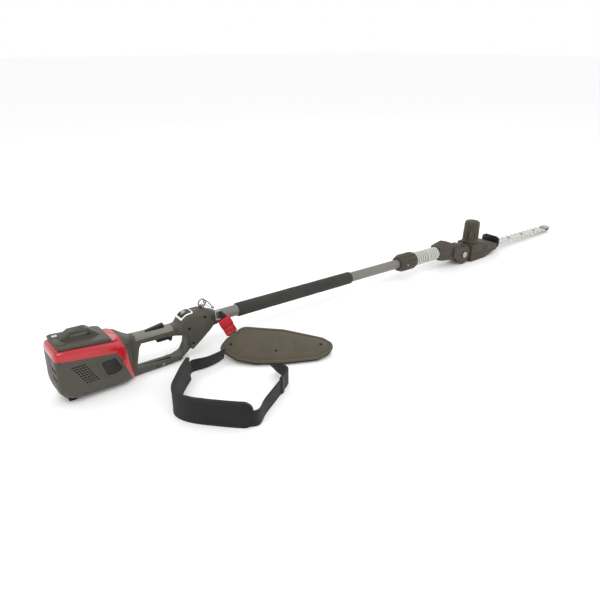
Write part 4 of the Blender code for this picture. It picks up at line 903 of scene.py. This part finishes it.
def makeHook():
    eye = toolSpace @ (Vector(hookSizes["eye"]) * mm)
    ring = Vector(hookSizes["ring"]) * mm
    run = (ring - eye).normalized()
    side = run.cross(Vector((0, 0, 1))).normalized()
    space = Matrix((run, -side, side.cross(run))).transposed().to_4x4()
    space.translation = eye
    long = (ring - eye).length / mm
    route = [(6.5, 5.04), (3, 5.6), (-2, 5.15), (-5.6, 2.8), (-6.6, 0), (-5.6, -2.8), (-2, -5.3), (8, -5.6),
             (long - 9, -3)]
    hook = wire("snapHookSkin", [Vector((x, -y, 0)) * mm for x, y in route], hookSizes["wire"] * mm, space, rounds=16)
    settle(hook, "carry", "steel", "snap_hook")
    barrel = spun("hookBarrel", [(long - 14, 0), (long - 14, 2.6), (long - 13, 3.3), (long - 9, 3.3), (long - 8, 2.8),
                                 (long - 8, 0)], 40, space @ Matrix.Translation((0, hookSizes["barrelSide"] * mm, 0)))
    settle(barrel, "carry", "steel")
    bpy.ops.object.select_all(action="DESELECT")
    bpy.ops.mesh.primitive_torus_add(major_radius=hookSizes["carryR"] * mm, minor_radius=hookSizes["carryWire"] * mm,
                                     major_segments=96, minor_segments=24, rotation=(math.pi / 2, 0, 0),
                                     location=[c * mm for c in hookSizes["carryEye"]])
    eyeRing = bpy.context.object
    eyeRing.name = "carryEyeSkin"
    settle(smooth(place(eyeRing), 60), "carry", "steel", "carry_eye")


makeStraps()
makePiping()
makeHipPad()
makeBuckle()
makeHook()
print("harness made")


# body fittings: badge surround, painted shade at the backs of the ledges, screws, battery handle, latch and gauge

badge = {"outer": [(-392, -4, 6), (-354, -4, 8), (-335, -14, 6), (-335, -43, 7), (-352, -52, 8), (-388, -51, 8)],
         "inner": [(-387, -9, 4), (-353, -8, 5), (-338, -16, 5), (-338, -41, 6), (-354, -48, 5), (-384, -47, 5)],
         "from": -46.9, "to": -45.0}
lampStep, latchRibStep, handleRibs, ledgeHeights = 2.9, 3, range(-428, -398, 5), (-8, -29)


def makeBodyFittings():
    rim = slab("badgeRim", arcs(badge["outer"], 6), badge["from"], badge["to"], 0.6)
    hole = slab("badgeRimCutter", arcs(badge["inner"], 6), -48, -44)
    smooth(cut(rim, hole), 32)
    settle(rim, "tool", "casing")
    # black plates at the backs of the ledge pockets are painted shade: dark colour put where the pockets would lie in
    # shade
    for k, z in enumerate(ledgeHeights):
        floor = blockPiece("ledgeBack%d" % (k + 1), (-478.4, -35.4, z - 5.4), (-477.6, -8.6, z + 4.4), 0.2)
        settle(floor, "tool", "black_plastic")
    for k, x in enumerate(handleRibs):
        rib = blockPiece("handleRib%d" % (k + 1), (x, -9.5, 65.0), (x + 2, 9.5, 66.5), 0.5)
        settle(rib, "battery", "black_plastic")
    for k in range(4):
        dot = blockPiece("gaugeLamp%d" % (k + 1), (-462.6 + k * lampStep, 18.5, 48.9),
                         (-460.8 + k * lampStep, 27.5, 49.5), 0.2)
        settle(dot, "battery", "white_trim")
        rib = blockPiece("latchRib%d" % (k + 1), (-463.4 + k * latchRibStep, -29.5, 50.1),
                         (-462.0 + k * latchRibStep, -16.5, 50.9), 0.3)
        settle(rib, "latch", "black_plastic")


casingScrews = [(-470, 14), (-318, 8), (-240, -84), (-180, -82), (-86, 6)]


def screwOn(name, x, z, side, radius=3.2, slot="black_plastic"):
    # a sunk screw with a dark well round it, set on the casing's side at X, Z
    skin = bpy.data.objects["housing_right_skin" if side < 0 else "housing_left_skin"]
    start = toolSpace @ Vector((x * mm, side * 0.09, z * mm))
    hit, spot, _, _ = skin.ray_cast(start, Vector((0, -side, 0)))
    if not hit:
        return
    depth = (toolSpace.inverted() @ spot).y / mm
    space = sideways(x, z, depth) if side > 0 else sideways(x, z, depth) @ Matrix.Rotation(math.pi, 4, "Z")
    well = spun(name + "Well", [(-0.6, radius * 0.5), (-0.6, radius * 1.35), (0.15, radius * 1.35),
                                (0.35, radius * 1.2), (0.1, radius * 1.02), (0.1, radius * 0.5)], 40, space)
    settle(well, "tool", "casing")
    recessedScrew(name, space @ Matrix.Translation((-0.8 * mm, 0, 0)), radius, 1.0, "tool", slot)


makeBodyFittings()


# what is left of the CAD nodes gets its refined copy, with cuts for vents and ledges

darker = {"battery_latch": "casing", "charge_gauge": "casing"}
edges = {"default": 0.0006, "battery_pack": 0.0010, "gearbox_upper": 0.0014, "gearbox_lower": 0.0010,
         "head_yoke": 0.0014,
         "top_cover": 0.0009, "crank_gear": 0, "motor_pinion": 0, "upper_blade": 0.0003, "lower_blade": 0.0003,
         "square_ring": 0.0012, "buckle_female": 0.0012, "buckle_male": 0.0012}
vents = {"start": (-447.0, -4.0), "pitch": 6.4, "drop": 6.3, "lean": 3.7, "rows": 8, "columns": 5, "hole": 2.2}


def cutVents(piece, side):
    x0, z0 = vents["start"]
    holes = []
    for row in range(vents["rows"]):
        for column in range(vents["columns"]):
            x, z = x0 + column * vents["pitch"] + row * vents["lean"], z0 - row * vents["drop"]
            r = vents["hole"]
            outline = [(x - r, z + r * 0.5), (x, z + r), (x + r, z + r * 0.5), (x + r * 1.2, z - r * 0.5),
                       (x + r * 0.2, z - r), (x - r * 0.8, z - r * 0.5)]
            holes.append(slab("hole", outline, side * 30, side * 60))
    return cut(piece, joined("ventCutters", *holes))


def cutLedges(piece):
    for z in ledgeHeights:
        ledge = blockPiece("ledge", (-500, -36, z - 6), (-477.6, -8, z + 5), 1.5)
        piece = cut(piece, ledge)
    return piece


def refineRest():
    shown = {name for piece in bpy.context.scene.objects for name in piece.get("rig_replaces", [])}
    for name in sorted(set(nodes) - shown):
        piece = refined(name, edges.get(name, edges["default"]))
        if name.startswith("housing"):
            piece = cutVents(piece, -1 if name.endswith("right") else 1)
            if name.endswith("right"):
                piece = cutLedges(piece)
            smooth(piece, 32)
        if slotOf[name] == "webbing":
            edit(piece, (bpy.ops.uv.cube_project, {"cube_size": 1.0, "correct_aspect": False}))
        settle(piece, bodyOf[name], darker.get(name, slotOf[name]), name)


refineRest()
for k, (x, z) in enumerate(casingScrews):
    for side in (-1, 1):
        screwOn("casingScrew%d%s" % (k + 1, "R" if side < 0 else "L"), x, z, side)
print("refined copies made")
